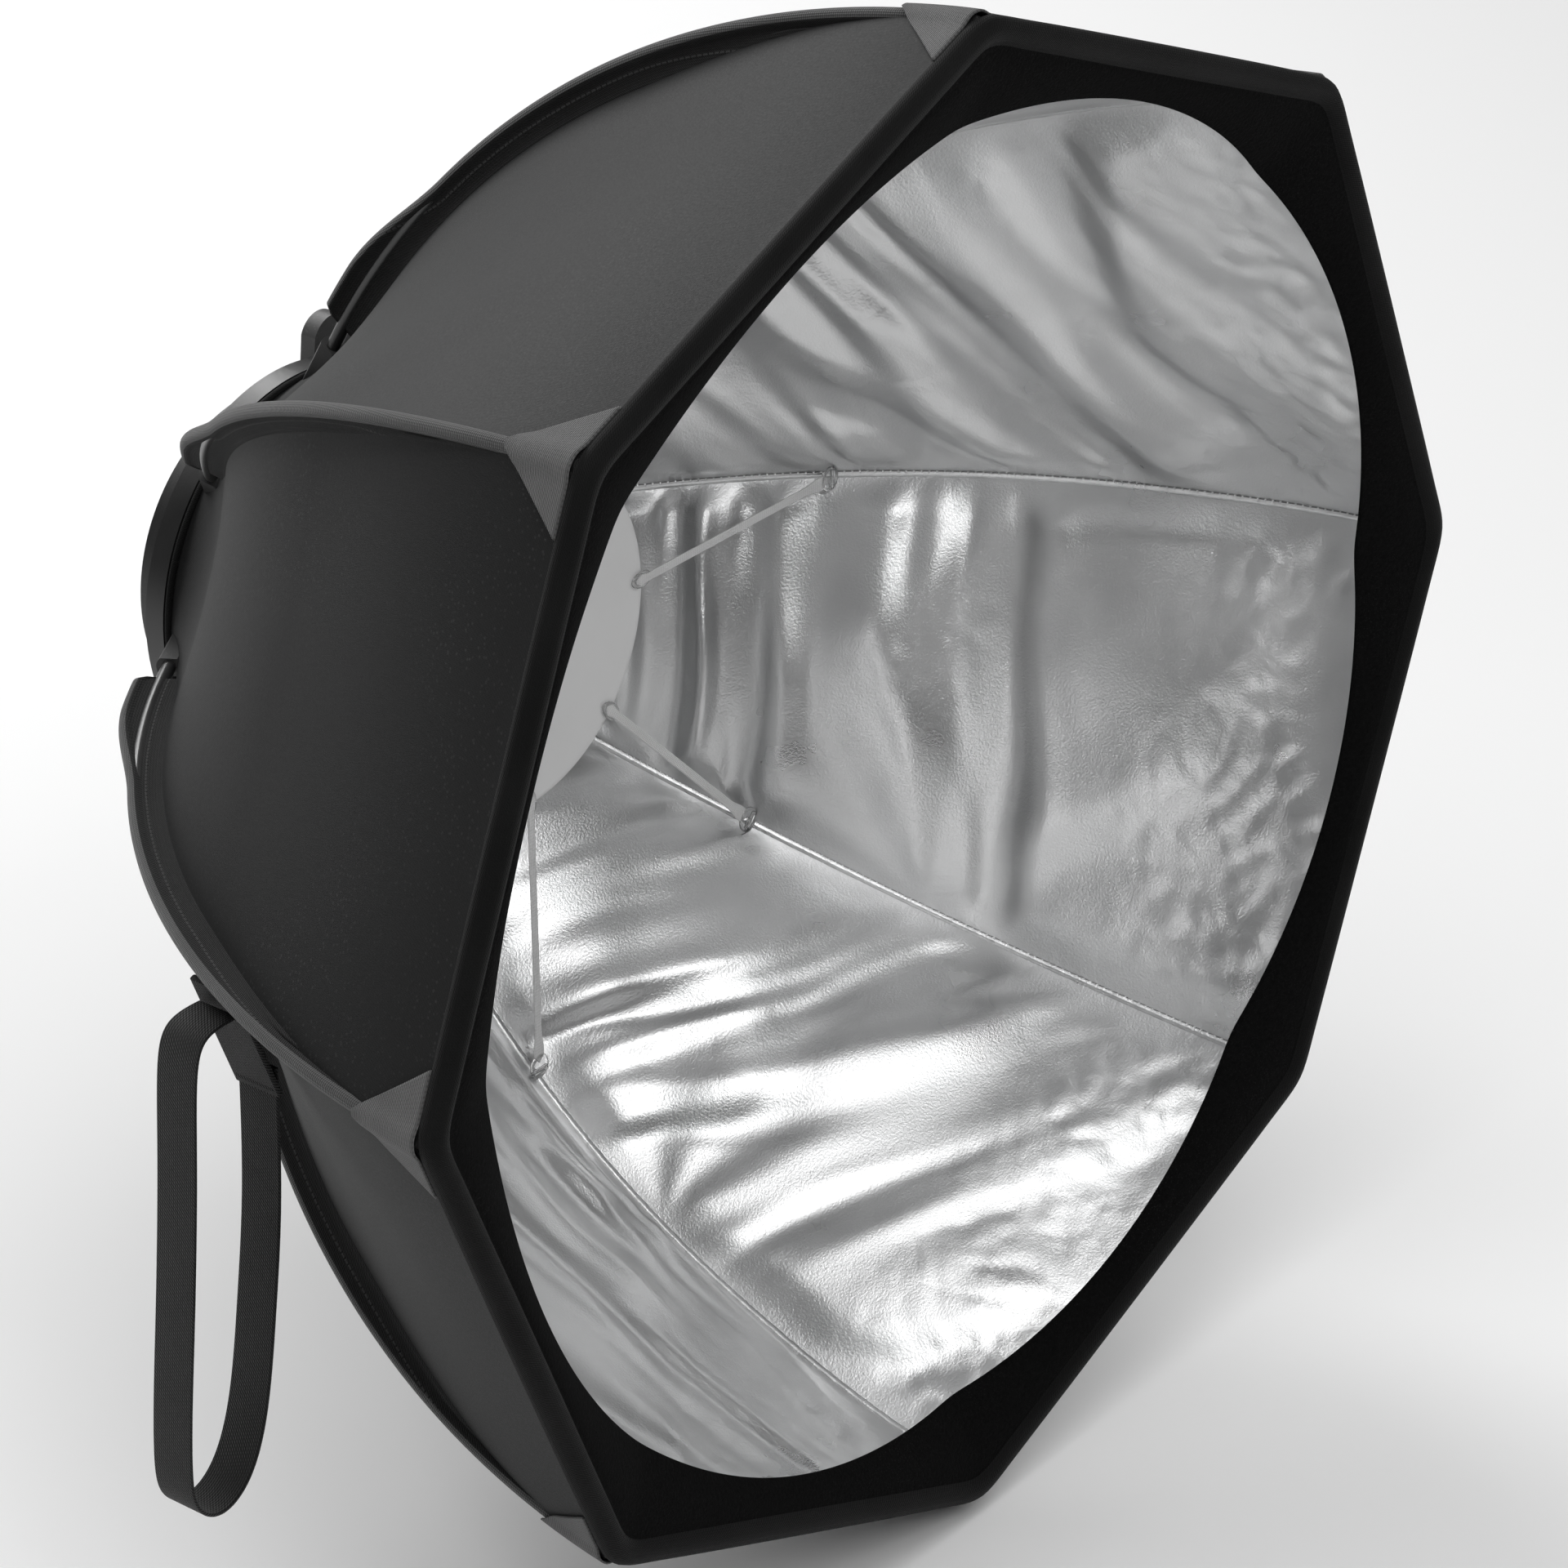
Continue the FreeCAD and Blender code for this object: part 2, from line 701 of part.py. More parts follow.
def strapTab():
    body = newBody("strap_tab")
    outline = strapSketch(body, "Tab")
    foot = f"({tabOut} - tab_lean)"
    addOutline(
        outline,
        [
            (f"-{tabOut}", "-tab_top"),
            (f"-{tabOut} + tab_thickness", "-tab_top"),
            (f"-{foot} + tab_thickness", "-(tab_top + tab_length)"),
            (f"-{foot}", "-(tab_top + tab_length)"),
        ],
        arcs={0: (f"-{tabOut} + tab_thickness / 2", "-tab_top + tab_thickness / 2")},
    )
    pad(body, outline, "tab_width", middle=True)
    return body


# Webbing that leaves the tab's hem, turns at the bottom and comes back over to the tab's outer face.
def strapLoop():
    body = newBody("strap_loop")
    outline = strapSketch(body, "Loop")
    near = f"({tabOut} - tab_lean - tab_thickness / 2 - strap_thickness / 2)"
    far = f"({near} + 2 * loop_radius)"
    centre = f"({near} + loop_radius)"
    nearLow = f"({near} + loop_lean)"
    farLow = f"({far} + loop_lean)"
    centreLow = f"({centre} + loop_lean)"
    turn = "(loop_bottom - loop_radius)"
    bend = "(loop_top + loop_radius)"
    face = f"({tabOut} - tab_lean * (loop_top - tab_top) / tab_length)"
    thick = "strap_thickness"
    diagonal = "loop_radius * sin(45)"
    inward = f"(loop_radius - {thick}) * sin(45)"
    addOutline(
        outline,
        [
            (f"-{near}", "-(tab_top + tab_length)"),
            (f"-{nearLow}", f"-{turn}"),
            (f"-{farLow}", f"-{turn}"),
            (f"-{far}", f"-{bend}"),
            (f"-{centre}", "-loop_top"),
            (f"-{face}", "-loop_top"),
            (f"-{face} + tab_lean / tab_length * {thick}", f"-loop_top - {thick}"),
            (f"-{centre}", f"-loop_top - {thick}"),
            (f"-{far} + {thick}", f"-{bend}"),
            (f"-{farLow} + {thick}", f"-{turn}"),
            (f"-{nearLow} - {thick}", f"-{turn}"),
            (f"-{near} - {thick}", "-(tab_top + tab_length)"),
        ],
        arcs={
            1: (f"-{centreLow}", "-loop_bottom"),
            3: (f"-{centre} - {diagonal}", f"-{bend} + {diagonal}"),
            7: (f"-{centre} - {inward}", f"-{bend} + {inward}"),
            9: (f"-{centreLow}", f"-loop_bottom + {thick}"),
        },
    )
    pad(body, outline, "strap_width", middle=True)
    return body


# ---------------------------------------------------------------- build, check and export
mount = mountRing()
mountHoles(mount)
parts = [mount, keeper(), hubCover(), screws(), ribRing(), hingePins()]
parts += [deflector(), elastics(), lockLever(), leverPin(), strapTab(), strapLoop()]
for k in range(1, int(sizes["rib_count"]) + 1):
    parts += [rod(k), bracket(k), sleeve(k), lip(k)]
    parts.append(gore("outer_gore", k, clothDepth, "cloth_thickness"))
    parts.append(gore("inner_gore", k, liningDepth, "lining_thickness"))
doc.recompute()

for thing in doc.Objects:
    if "Invalid" in thing.State or "Error" in thing.State:
        raise RuntimeError(f"{thing.Label} ({thing.Name}) failed: {thing.State}")
os.makedirs("parts", exist_ok=True)
for part in parts:
    if part.Shape.isNull() or not part.Shape.isValid():
        raise RuntimeError(f"{part.Label} has no valid shape")
    part.Shape.exportStep(f"parts/{part.Label}.step")
print(f"{len(parts)} nodes written")
for name, text in (("front", frontAxial), ("corner", cornerRadius), ("tip radius", tipRadius)):
    print(name, round(number(text), 2))
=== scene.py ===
import json
import math

import bmesh
import bpy
import numpy as np
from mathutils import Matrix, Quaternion, Vector


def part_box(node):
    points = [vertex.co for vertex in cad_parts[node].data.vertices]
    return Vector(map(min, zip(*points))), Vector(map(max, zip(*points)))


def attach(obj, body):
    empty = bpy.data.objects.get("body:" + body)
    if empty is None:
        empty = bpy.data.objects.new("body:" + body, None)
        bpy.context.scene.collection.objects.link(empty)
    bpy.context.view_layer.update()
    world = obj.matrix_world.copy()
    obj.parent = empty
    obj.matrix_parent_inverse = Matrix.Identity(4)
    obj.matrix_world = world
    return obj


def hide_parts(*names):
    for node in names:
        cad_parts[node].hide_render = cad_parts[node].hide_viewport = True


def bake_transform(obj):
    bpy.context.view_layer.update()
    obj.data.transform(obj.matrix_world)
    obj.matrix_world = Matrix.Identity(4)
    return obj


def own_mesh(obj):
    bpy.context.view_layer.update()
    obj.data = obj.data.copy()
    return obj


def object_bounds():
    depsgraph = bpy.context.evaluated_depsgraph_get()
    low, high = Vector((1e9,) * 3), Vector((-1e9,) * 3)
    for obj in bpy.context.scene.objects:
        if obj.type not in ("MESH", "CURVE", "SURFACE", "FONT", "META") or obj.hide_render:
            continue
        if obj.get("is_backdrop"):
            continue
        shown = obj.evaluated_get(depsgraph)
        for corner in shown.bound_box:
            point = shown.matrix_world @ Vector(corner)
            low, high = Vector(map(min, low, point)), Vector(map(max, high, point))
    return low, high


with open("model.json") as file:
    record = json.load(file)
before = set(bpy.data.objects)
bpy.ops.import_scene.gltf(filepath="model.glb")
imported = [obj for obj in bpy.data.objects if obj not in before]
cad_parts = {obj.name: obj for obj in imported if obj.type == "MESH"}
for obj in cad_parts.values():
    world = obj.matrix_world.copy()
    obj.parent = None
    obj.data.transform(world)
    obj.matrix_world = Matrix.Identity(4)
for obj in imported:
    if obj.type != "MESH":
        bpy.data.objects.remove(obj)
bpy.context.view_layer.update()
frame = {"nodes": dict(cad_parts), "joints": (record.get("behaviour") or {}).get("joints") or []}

joints = {joint["name"]: joint for joint in frame["joints"]}
ribs = range(1, 9)
step = math.pi / 4    # angle from one rib to the next
dishAxis = np.array([0.0, 1.0, 0.0])
print("frame loaded")

# The bow that every rib follows, in metres: an arc that starts where the stem leaves its hinge.
bow = {"stem": 0.030, "stemAngle": math.radians(60), "radius": 0.439}
hingeAt = joints["rib_1_fold"]["pos_m"]
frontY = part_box("lip_1")[0].y
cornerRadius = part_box("lip_1")[1].z
stemReach, stemRise = bow["stem"] * math.sin(bow["stemAngle"]), bow["stem"] * math.cos(bow["stemAngle"])
bowRadial = hingeAt[2] + stemReach - bow["radius"] * math.cos(bow["stemAngle"])
bowDepth = -hingeAt[1] + stemRise + bow["radius"] * math.sin(bow["stemAngle"])


def wayAt(angle):
    return np.array([math.sin(angle), 0, math.cos(angle)])


def ribWay(k):
    return wayAt((k - 1) * step)


def ribAcross(k):
    angle = (k - 1) * step
    return np.array([math.cos(angle), 0, -math.sin(angle)])


def inRibPlane(k, radial, y):
    return np.outer(radial, ribWay(k)) + np.outer(y, dishAxis)


def steady(vector, count):
    return np.repeat(np.asarray(vector, float)[None], count, 0)


def smooth(x):
    x = np.clip(x, 0, 1)
    return x * x * (3 - 2 * x)


def softNoise(x, y, size, seed, waves=9):
    # a smooth random field from about -1 to 1, with bumps roughly that size across
    rng = np.random.default_rng(seed)
    total = 0
    for n in range(waves):
        way, phase = rng.uniform(0, 2 * math.pi, 2)
        pace = 2 * math.pi / (size * rng.uniform(0.7, 1.6))
        total = total + np.sin(pace * (x * math.cos(way) + y * math.sin(way)) + phase)
    return total / math.sqrt(waves)


def meshPiece(name, points, faces, uvs=None, cornerNormals=None):
    mesh = bpy.data.meshes.new(name)
    mesh.from_pydata(np.asarray(points).reshape(-1, 3).tolist(), [], np.asarray(faces).tolist())
    mesh.polygons.foreach_set("use_smooth", [True] * len(mesh.polygons))
    if uvs is not None:
        layer = mesh.uv_layers.new(name="UVMap")
        corners = np.zeros(len(mesh.loops), int)
        mesh.loops.foreach_get("vertex_index", corners)
        layer.data.foreach_set("uv", np.asarray(uvs).reshape(-1, 2)[corners].astype(np.float32).ravel())
    if cornerNormals is not None:
        mesh.normals_split_custom_set(cornerNormals.reshape(-1, 3).tolist())
    mesh.update()
    piece = bpy.data.objects.new(name, mesh)
    bpy.context.scene.collection.objects.link(piece)
    return piece


def gridFaces(rows, columns, flip=False, wrap=False):
    r, c = np.meshgrid(np.arange(rows - 1), np.arange(columns if wrap else columns - 1), indexing="ij")
    n = (c + 1) % columns
    quads = np.stack([r * columns + c, r * columns + n, (r + 1) * columns + n, (r + 1) * columns + c], -1)
    quads = quads.reshape(-1, 4)
    return quads[:, ::-1] if flip else quads


def runLengths(points, axis):
    steps = np.linalg.norm(np.diff(points, axis=axis), axis=-1)
    start = np.zeros_like(np.take(steps, [0], axis=axis))
    return np.concatenate([start, np.cumsum(steps, axis=axis)], axis=axis)


def weld(piece, distance=1e-6):
    shape = bmesh.new()
    shape.from_mesh(piece.data)
    bmesh.ops.remove_doubles(shape, verts=shape.verts, dist=distance)
    bmesh.ops.holes_fill(shape, edges=[e for e in shape.edges if e.is_boundary], sides=0)
    shape.to_mesh(piece.data)
    shape.free()


def sweep(name, spine, ways, tops, profile, closed=True, flip=False):
    # draws the profile (across, up) at every point of the spine
    spine, ways, tops = (np.asarray(x, float) for x in (spine, ways, tops))
    profile = np.asarray(profile, float)
    if profile.ndim == 2:
        profile = steady(profile, len(spine))
    points = spine[:, None] + ways[:, None] * profile[..., :1] + tops[:, None] * profile[..., 1:]
    if closed:
        points = np.concatenate([points, points[:, :1]], 1)
    rows, columns = points.shape[:2]
    along = runLengths(points, 0).mean(1, keepdims=True) * np.ones((1, columns))
    over = runLengths(points, 1)
    piece = meshPiece(name, points, gridFaces(rows, columns, flip), np.stack([along, over], -1))
    if closed:
        weld(piece)
    return piece


def roundBar(halfWidth, halfHeight, corner, steps=4):
    # a rounded rectangle, for straps and tabs
    outline = []
    for turn, (sx, sy) in enumerate([(1, 1), (-1, 1), (-1, -1), (1, -1)]):
        for n in range(steps + 1):
            a = (turn + n / steps) * math.pi / 2
            x, y = sx * (halfWidth - corner), sy * (halfHeight - corner)
            outline.append((x + corner * math.cos(a), y + corner * math.sin(a)))
    return outline


def roundWire(radius, sides=12):
    angles = np.linspace(0, 2 * math.pi, sides, endpoint=False)
    return [(radius * math.cos(a), radius * math.sin(a)) for a in angles]


def hang(piece, body, slot, *materials, replaces=()):
    for material in materials:
        piece.data.materials.append(material)
    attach(piece, body)
    if replaces:
        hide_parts(*replaces)


def gathers(piece):
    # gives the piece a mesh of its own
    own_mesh(piece)


# Node helpers and the effects that several finishes share

def addNode(tree, kind, inputs, **settings):
    node = tree.nodes.new(kind)
    for name, value in settings.items():
        setattr(node, name, value)
    for name, value in inputs.items():
        if isinstance(value, bpy.types.NodeSocket):
            tree.links.new(value, node.inputs[name])
        else:
            node.inputs[name].default_value = value
    return node


def maths(tree, operation, a, b=0.0, c=0.0):
    return addNode(tree, "ShaderNodeMath", {0: a, 1: b, 2: c}, operation=operation).outputs[0]


def noise(tree, vector, scale, detail, roughness=0.5):
    inputs = {"Vector": vector, "Scale": scale, "Detail": detail, "Roughness": roughness}
    return addNode(tree, "ShaderNodeTexNoise", inputs).outputs


def cells(tree, vector, scale, feature):
    inputs = {"Vector": vector, "Scale": scale}
    return addNode(tree, "ShaderNodeTexVoronoi", inputs, feature=feature).outputs["Distance"]


def spread(tree, value, low, high, start=0.3, stop=0.7):
    inputs = {"Value": value, "From Min": start, "From Max": stop, "To Min": low, "To Max": high}
    return addNode(tree, "ShaderNodeMapRange", inputs, clamp=True).outputs["Result"]


def grey(value, tint=0.0):
    return (value * (1 - tint), value, value * (1 + tint), 1.0)


def blendColour(tree, fac, a, b):
    node = addNode(tree, "ShaderNodeMix", {}, data_type="RGBA")
    for slot, value in ((0, fac), (6, a), (7, b)):
        if isinstance(value, bpy.types.NodeSocket):
            tree.links.new(value, node.inputs[slot])
        else:
            node.inputs[slot].default_value = value
    return node.outputs[2]


def effectGroup(name, numbers, outputs):
    group = bpy.data.node_groups.new(name, "ShaderNodeTree")
    group.interface.new_socket(name="Vector", in_out="INPUT", socket_type="NodeSocketVector")
    for label, value in numbers.items():
        socket = group.interface.new_socket(name=label, in_out="INPUT", socket_type="NodeSocketFloat")
        socket.default_value = value
    for label in outputs:
        group.interface.new_socket(name=label, in_out="OUTPUT", socket_type="NodeSocketFloat")
    start, end = group.nodes.new("NodeGroupInput"), group.nodes.new("NodeGroupOutput")
    return group, start.outputs, end.inputs


def makeGrain():
    group, given, made = effectGroup("fineGrain", {"Size": 900.0, "Patches": 14.0}, ["Grain", "Patches"])
    group.links.new(noise(group, given["Vector"], given["Size"], 3.0, 0.65)["Fac"], made["Grain"])
    group.links.new(noise(group, given["Vector"], given["Patches"], 4.0, 0.55)["Fac"], made["Patches"])
    return group


def makeWeave():
    # threads along and across the strip, measured in threads to the metre; slant 1 turns it into a twill
    numbers = {"Along": 1000.0, "Across": 1000.0, "Slant": 0.0, "Balance": 0.5}
    group, given, made = effectGroup("wovenThreads", numbers, ["Height", "GapShade"])
    place = addNode(group, "ShaderNodeSeparateXYZ", {0: given["Vector"]}).outputs
    warp = maths(group, "MULTIPLY", place["X"], given["Along"])
    weft = maths(group, "MULTIPLY", place["Y"], given["Across"])
    leaning = maths(group, "MULTIPLY_ADD", weft, given["Slant"], warp)
    one = maths(group, "ABSOLUTE", maths(group, "SINE", maths(group, "MULTIPLY", leaning, math.pi)))
    two = maths(group, "ABSOLUTE", maths(group, "SINE", maths(group, "MULTIPLY", weft, math.pi)))
    left = maths(group, "MULTIPLY", one, maths(group, "SUBTRACT", 1.0, given["Balance"]))
    height = maths(group, "MULTIPLY_ADD", two, given["Balance"], left)
    group.links.new(height, made["Height"])
    # the second output is painted shade: it rises where the threads dip into the gaps between them
    group.links.new(spread(group, height, 0.0, 1.0, 0.45, 0.1), made["GapShade"])
    return group


def makeStitches():
    # a row of stitches at one distance across the strip
    group, given, made = effectGroup("stitchRow", {"Line": 0.01, "Pitch": 0.003, "Width": 0.0005}, ["Stitch"])
    place = addNode(group, "ShaderNodeSeparateXYZ", {0: given["Vector"]}).outputs
    away = maths(group, "ABSOLUTE", maths(group, "SUBTRACT", place["Y"], given["Line"]))
    near = maths(group, "SUBTRACT", 1.0, maths(group, "DIVIDE", away, given["Width"]))
    beat = maths(group, "FRACT", maths(group, "DIVIDE", place["X"], given["Pitch"]))
    fromMiddle = maths(group, "ABSOLUTE", maths(group, "SUBTRACT", beat, 0.5))
    dash = spread(group, fromMiddle, 0.0, 1.0, 0.42, 0.3)
    group.links.new(maths(group, "MULTIPLY", maths(group, "MAXIMUM", near, 0.0), dash), made["Stitch"])
    return group


def makeDust():
    group, given, made = effectGroup("lightDust", {"Scale": 700.0, "Amount": 0.3}, ["Dust"])
    near = spread(group, cells(group, given["Vector"], given["Scale"], "F1"), 0.0, 1.0, 0.28, 0.12)
    some = spread(group, noise(group, given["Vector"], 9.0, 3.0)["Fac"], 0.0, 1.0, 0.42, 0.68)
    both = maths(group, "MULTIPLY", near, some)
    group.links.new(maths(group, "MULTIPLY", both, given["Amount"]), made["Dust"])
    return group


def makeCreases():
    # sharp hairline creases, as crushed foil has, in drifting patches
    group, given, made = effectGroup("foilCreases", {"Scale": 28.0, "Patches": 7.0}, ["Height"])
    bend = noise(group, given["Vector"], 16.0, 2.0)["Color"]
    moved = addNode(group, "ShaderNodeVectorMath", {0: bend, 1: (0.03, 0.03, 0.03)}, operation="MULTIPLY")
    place = addNode(group, "ShaderNodeVectorMath", {0: given["Vector"], 1: moved.outputs[0]}, operation="ADD")
    toEdge = cells(group, place.outputs[0], given["Scale"], "DISTANCE_TO_EDGE")
    dip = maths(group, "SUBTRACT", spread(group, toEdge, 0.0, 1.0, 0.0, 0.09), 1.0)
    mask = spread(group, noise(group, given["Vector"], given["Patches"], 2.0)["Fac"], 0.0, 1.0, 0.46, 0.64)
    group.links.new(maths(group, "MULTIPLY", dip, mask), made["Height"])
    return group


grainGroup, weaveGroup, stitchGroup = makeGrain(), makeWeave(), makeStitches()
dustGroup, creaseGroup = makeDust(), makeCreases()


def placeGroup(tree, group, vector, **values):
    node = addNode(tree, "ShaderNodeGroup", {}, node_tree=group)
    tree.links.new(vector, node.inputs["Vector"])
    for name, value in values.items():
        node.inputs[name].default_value = value
    return node.outputs


def newMaterial(name, sockets):
    material = bpy.data.materials.new(name)
    material.use_nodes = True
    tree = material.node_tree
    shader = tree.nodes["Principled BSDF"]
    for label, value in sockets.items():
        shader.inputs[label].default_value = value
    where = tree.nodes.new("ShaderNodeTexCoord").outputs
    return material, tree, shader, where["Object"], where["UV"]


def mottled(tree, value, look, tint=0.0):
    # drifts between the finish's dark and light
    dark, light = grey(look["dark"], tint), grey(look["light"], tint)
    return blendColour(tree, spread(tree, value, 0.0, 1.0), dark, light)


def dress(tree, shader, colour, rough=None, height=None, bump=0.0, relief=0.0):
    # rough is what drives the roughness, its lowest and its highest; relief is in metres
    tree.links.new(colour, shader.inputs["Base Color"])
    if rough is not None:
        tree.links.new(spread(tree, *rough), shader.inputs["Roughness"])
    if height is not None:
        surface = addNode(tree, "ShaderNodeBump", {"Height": height, "Strength": bump, "Distance": relief})
        tree.links.new(surface.outputs["Normal"], shader.inputs["Normal"])


def plasticMaterial(name, look):
    material, tree, shader, place, strip = newMaterial(name, {"Specular IOR Level": look["gloss"]})
    grain = placeGroup(tree, grainGroup, place, Size=look["texture"], Patches=18.0)
    dust = placeGroup(tree, dustGroup, place, Scale=520.0, Amount=look["dust"])
    colour = blendColour(tree, dust["Dust"], mottled(tree, grain["Patches"], look), grey(0.35))
    rough = grain["Patches"], look["smoothest"], look["roughest"]
    dress(tree, shader, colour, rough, grain["Grain"], look["bump"], 0.0002)
    return material


def metalMaterial(name, look):
    material, tree, shader, place, strip = newMaterial(name, {"Metallic": 1.0})
    grain = placeGroup(tree, grainGroup, place, Size=look["texture"], Patches=30.0)
    rough = grain["Grain"], look["smoothest"], look["roughest"]
    dress(tree, shader, mottled(tree, grain["Patches"], look), rough, grain["Grain"], 0.15, 0.0001)
    return material


def wovenMaterial(name, look):
    # narrow woven goods: tape, grosgrain, webbing and elastic
    material, tree, shader, place, strip = newMaterial(name, {
        "Sheen Weight": look["sheen"], "Sheen Roughness": 0.45, "Specular IOR Level": look["gloss"],
        "Sheen Tint": (1.0, 1.0, 1.0, 1.0)})
    weave = placeGroup(tree, weaveGroup, strip, Along=look["along"], Across=look["across"],
                       Slant=look["slant"], Balance=look["balance"])
    grain = placeGroup(tree, grainGroup, place, Size=1400.0, Patches=25.0)
    # painted shade: the gaps between the threads are coloured darker than the threads
    colour = blendColour(tree, weave["GapShade"], mottled(tree, grain["Patches"], look), grey(look["gap"]))
    height = maths(tree, "MULTIPLY_ADD", grain["Grain"], 0.25, weave["Height"])
    for line in look.get("stitch", ()):
        row = placeGroup(tree, stitchGroup, strip, Line=line, Pitch=0.0032, Width=0.0007)
        colour = blendColour(tree, row["Stitch"], colour, grey(look["thread"]))
        height = maths(tree, "MULTIPLY_ADD", row["Stitch"], 1.6, height)
    rough = grain["Grain"], look["rough"] - 0.08, look["rough"] + 0.08
    dress(tree, shader, colour, rough, height, look["bump"], 0.0005)
    return material


def coatedClothMaterial():
    look = dict(dark=0.0055, light=0.0080, smoothest=0.60, roughest=0.70, bump=0.25, relief=0.00025)
    material, tree, shader, place, strip = newMaterial("coatedCloth", {
        "Sheen Weight": 0.02, "Sheen Roughness": 0.35, "Specular IOR Level": 0.22})
    grain = placeGroup(tree, grainGroup, place, Size=1100.0, Patches=6.0)
    weave = placeGroup(tree, weaveGroup, strip, Along=1600.0, Across=1600.0, Slant=0.0, Balance=0.5)
    dust = placeGroup(tree, dustGroup, place, Scale=380.0, Amount=0.12)
    colour = blendColour(tree, dust["Dust"], mottled(tree, grain["Patches"], look, 0.02), grey(0.16))
    rough = grain["Grain"], look["smoothest"], look["roughest"]
    height = maths(tree, "MULTIPLY_ADD", grain["Grain"], 0.8, weave["Height"])
    dress(tree, shader, colour, rough, height, look["bump"], look["relief"])
    return material


def silverMaterial(name, stitched=False):
    look = dict(dark=0.60, light=0.72, smoothest=0.26, roughest=0.37, bump=0.5, relief=0.0009,
                grain=0.40, creases=0.22, fine=0.07)
    material, tree, shader, place, strip = newMaterial(name, {"Metallic": 1.0})
    grain = placeGroup(tree, grainGroup, place, Size=950.0, Patches=16.0)
    creases = placeGroup(tree, creaseGroup, place, Scale=24.0, Patches=6.5)
    fine = placeGroup(tree, creaseGroup, place, Scale=70.0, Patches=11.0)
    colour = mottled(tree, grain["Patches"], look, 0.004)
    height = maths(tree, "MULTIPLY", creases["Height"], look["creases"])
    height = maths(tree, "MULTIPLY_ADD", grain["Grain"], look["grain"], height)
    height = maths(tree, "MULTIPLY_ADD", fine["Height"], look["fine"], height)
    if stitched:
        row = placeGroup(tree, stitchGroup, strip, Line=0.0012, Pitch=0.0034, Width=0.0006)
        colour = blendColour(tree, row["Stitch"], colour, grey(0.16))
        height = maths(tree, "MULTIPLY_ADD", row["Stitch"], -0.8, height)
    rough = grain["Patches"], look["smoothest"], look["roughest"]
    dress(tree, shader, colour, rough, height, look["bump"], look["relief"])
    return material


def velourMaterial():
    look = dict(dark=0.0022, light=0.0046, fleck=0.035, thread=0.03, bump=0.8, relief=0.0008)
    material, tree, shader, place, strip = newMaterial("loopVelour", {
        "Roughness": 1.0, "Sheen Weight": 0.012, "Sheen Roughness": 0.6, "Specular IOR Level": 0.03})
    grain = placeGroup(tree, grainGroup, place, Size=620.0, Patches=10.0)
    dust = placeGroup(tree, dustGroup, place, Scale=820.0, Amount=0.45)
    row = placeGroup(tree, stitchGroup, strip, Line=0.0215, Pitch=0.0034, Width=0.0006)
    colour = blendColour(tree, dust["Dust"], mottled(tree, grain["Grain"], look), grey(look["fleck"]))
    colour = blendColour(tree, row["Stitch"], colour, grey(look["thread"]))
    height = maths(tree, "MULTIPLY_ADD", row["Stitch"], -1.2, grain["Grain"])
    dress(tree, shader, colour, None, height, look["bump"], look["relief"])
    return material


def clearMaterial():
    sockets = {"Transmission Weight": 1.0, "IOR": 1.49, "Metallic": 0.0}
    material, tree, shader, place, strip = newMaterial("clearClip", sockets)
    grain = placeGroup(tree, grainGroup, place, Size=500.0, Patches=60.0)
    colour = blendColour(tree, grain["Patches"], grey(0.90), grey(0.98))
    dress(tree, shader, colour, (grain["Patches"], 0.05, 0.2))
    return material


def whitePlasticMaterial():
    look = dict(dark=0.80, light=0.86, smoothest=0.33, roughest=0.45, bump=0.12, relief=0.0002)
    material, tree, shader, place, strip = newMaterial("whiteDeflector", {"Specular IOR Level": 0.45})
    grain = placeGroup(tree, grainGroup, place, Size=700.0, Patches=12.0)
    rough = grain["Patches"], look["smoothest"], look["roughest"]
    colour = mottled(tree, grain["Patches"], look)
    dress(tree, shader, colour, rough, grain["Grain"], look["bump"], look["relief"])
    return material


coatedCloth = coatedClothMaterial()
silver = silverMaterial("silverLining")
stitchedSilver = silverMaterial("stitchedSilver", stitched=True)
velour = velourMaterial()
clearPlastic = clearMaterial()
whitePlastic = whitePlasticMaterial()
ringPlastic = plasticMaterial("ringPlastic", dict(
    dark=0.018, light=0.026, smoothest=0.38, roughest=0.5, gloss=0.5, texture=1500.0, bump=0.35, dust=0.25))
flangePlastic = plasticMaterial("flangePlastic", dict(
    dark=0.012, light=0.018, smoothest=0.3, roughest=0.42, gloss=0.5, texture=1800.0, bump=0.25, dust=0.2))
leverPlastic = plasticMaterial("leverPlastic", dict(
    dark=0.05, light=0.07, smoothest=0.4, roughest=0.52, gloss=0.45, texture=1300.0, bump=0.4, dust=0.2))
bracketPlastic = plasticMaterial("bracketPlastic", dict(
    dark=0.022, light=0.035, smoothest=0.45, roughest=0.6, gloss=0.4, texture=900.0, bump=0.5, dust=0.3))
rodPaint = plasticMaterial("rodCoating", dict(
    dark=0.02, light=0.03, smoothest=0.28, roughest=0.4, gloss=0.5, texture=2000.0, bump=0.2, dust=0.2))
zincSteel = metalMaterial("zincSteel", dict(
    dark=0.5, light=0.62, smoothest=0.25, roughest=0.4, texture=1200.0))
hubSilver = metalMaterial("hubSilver", dict(
    dark=0.62, light=0.74, smoothest=0.3, roughest=0.42, texture=900.0))
crestTape = wovenMaterial("crestTape", dict(
    gloss=0.18, along=950.0, across=950.0, slant=0.0, balance=0.5,
    dark=0.04, light=0.055, gap=0.01, sheen=0.25, rough=0.68, bump=0.7))
sleeveBand = wovenMaterial("sleeveBand", dict(
    gloss=0.12, along=900.0, across=900.0, slant=1.0, balance=0.35,
    dark=0.007, light=0.011, gap=0.002, sheen=0.06, rough=0.75, bump=0.8,
    stitch=[0.0072, 0.0268], thread=0.05))
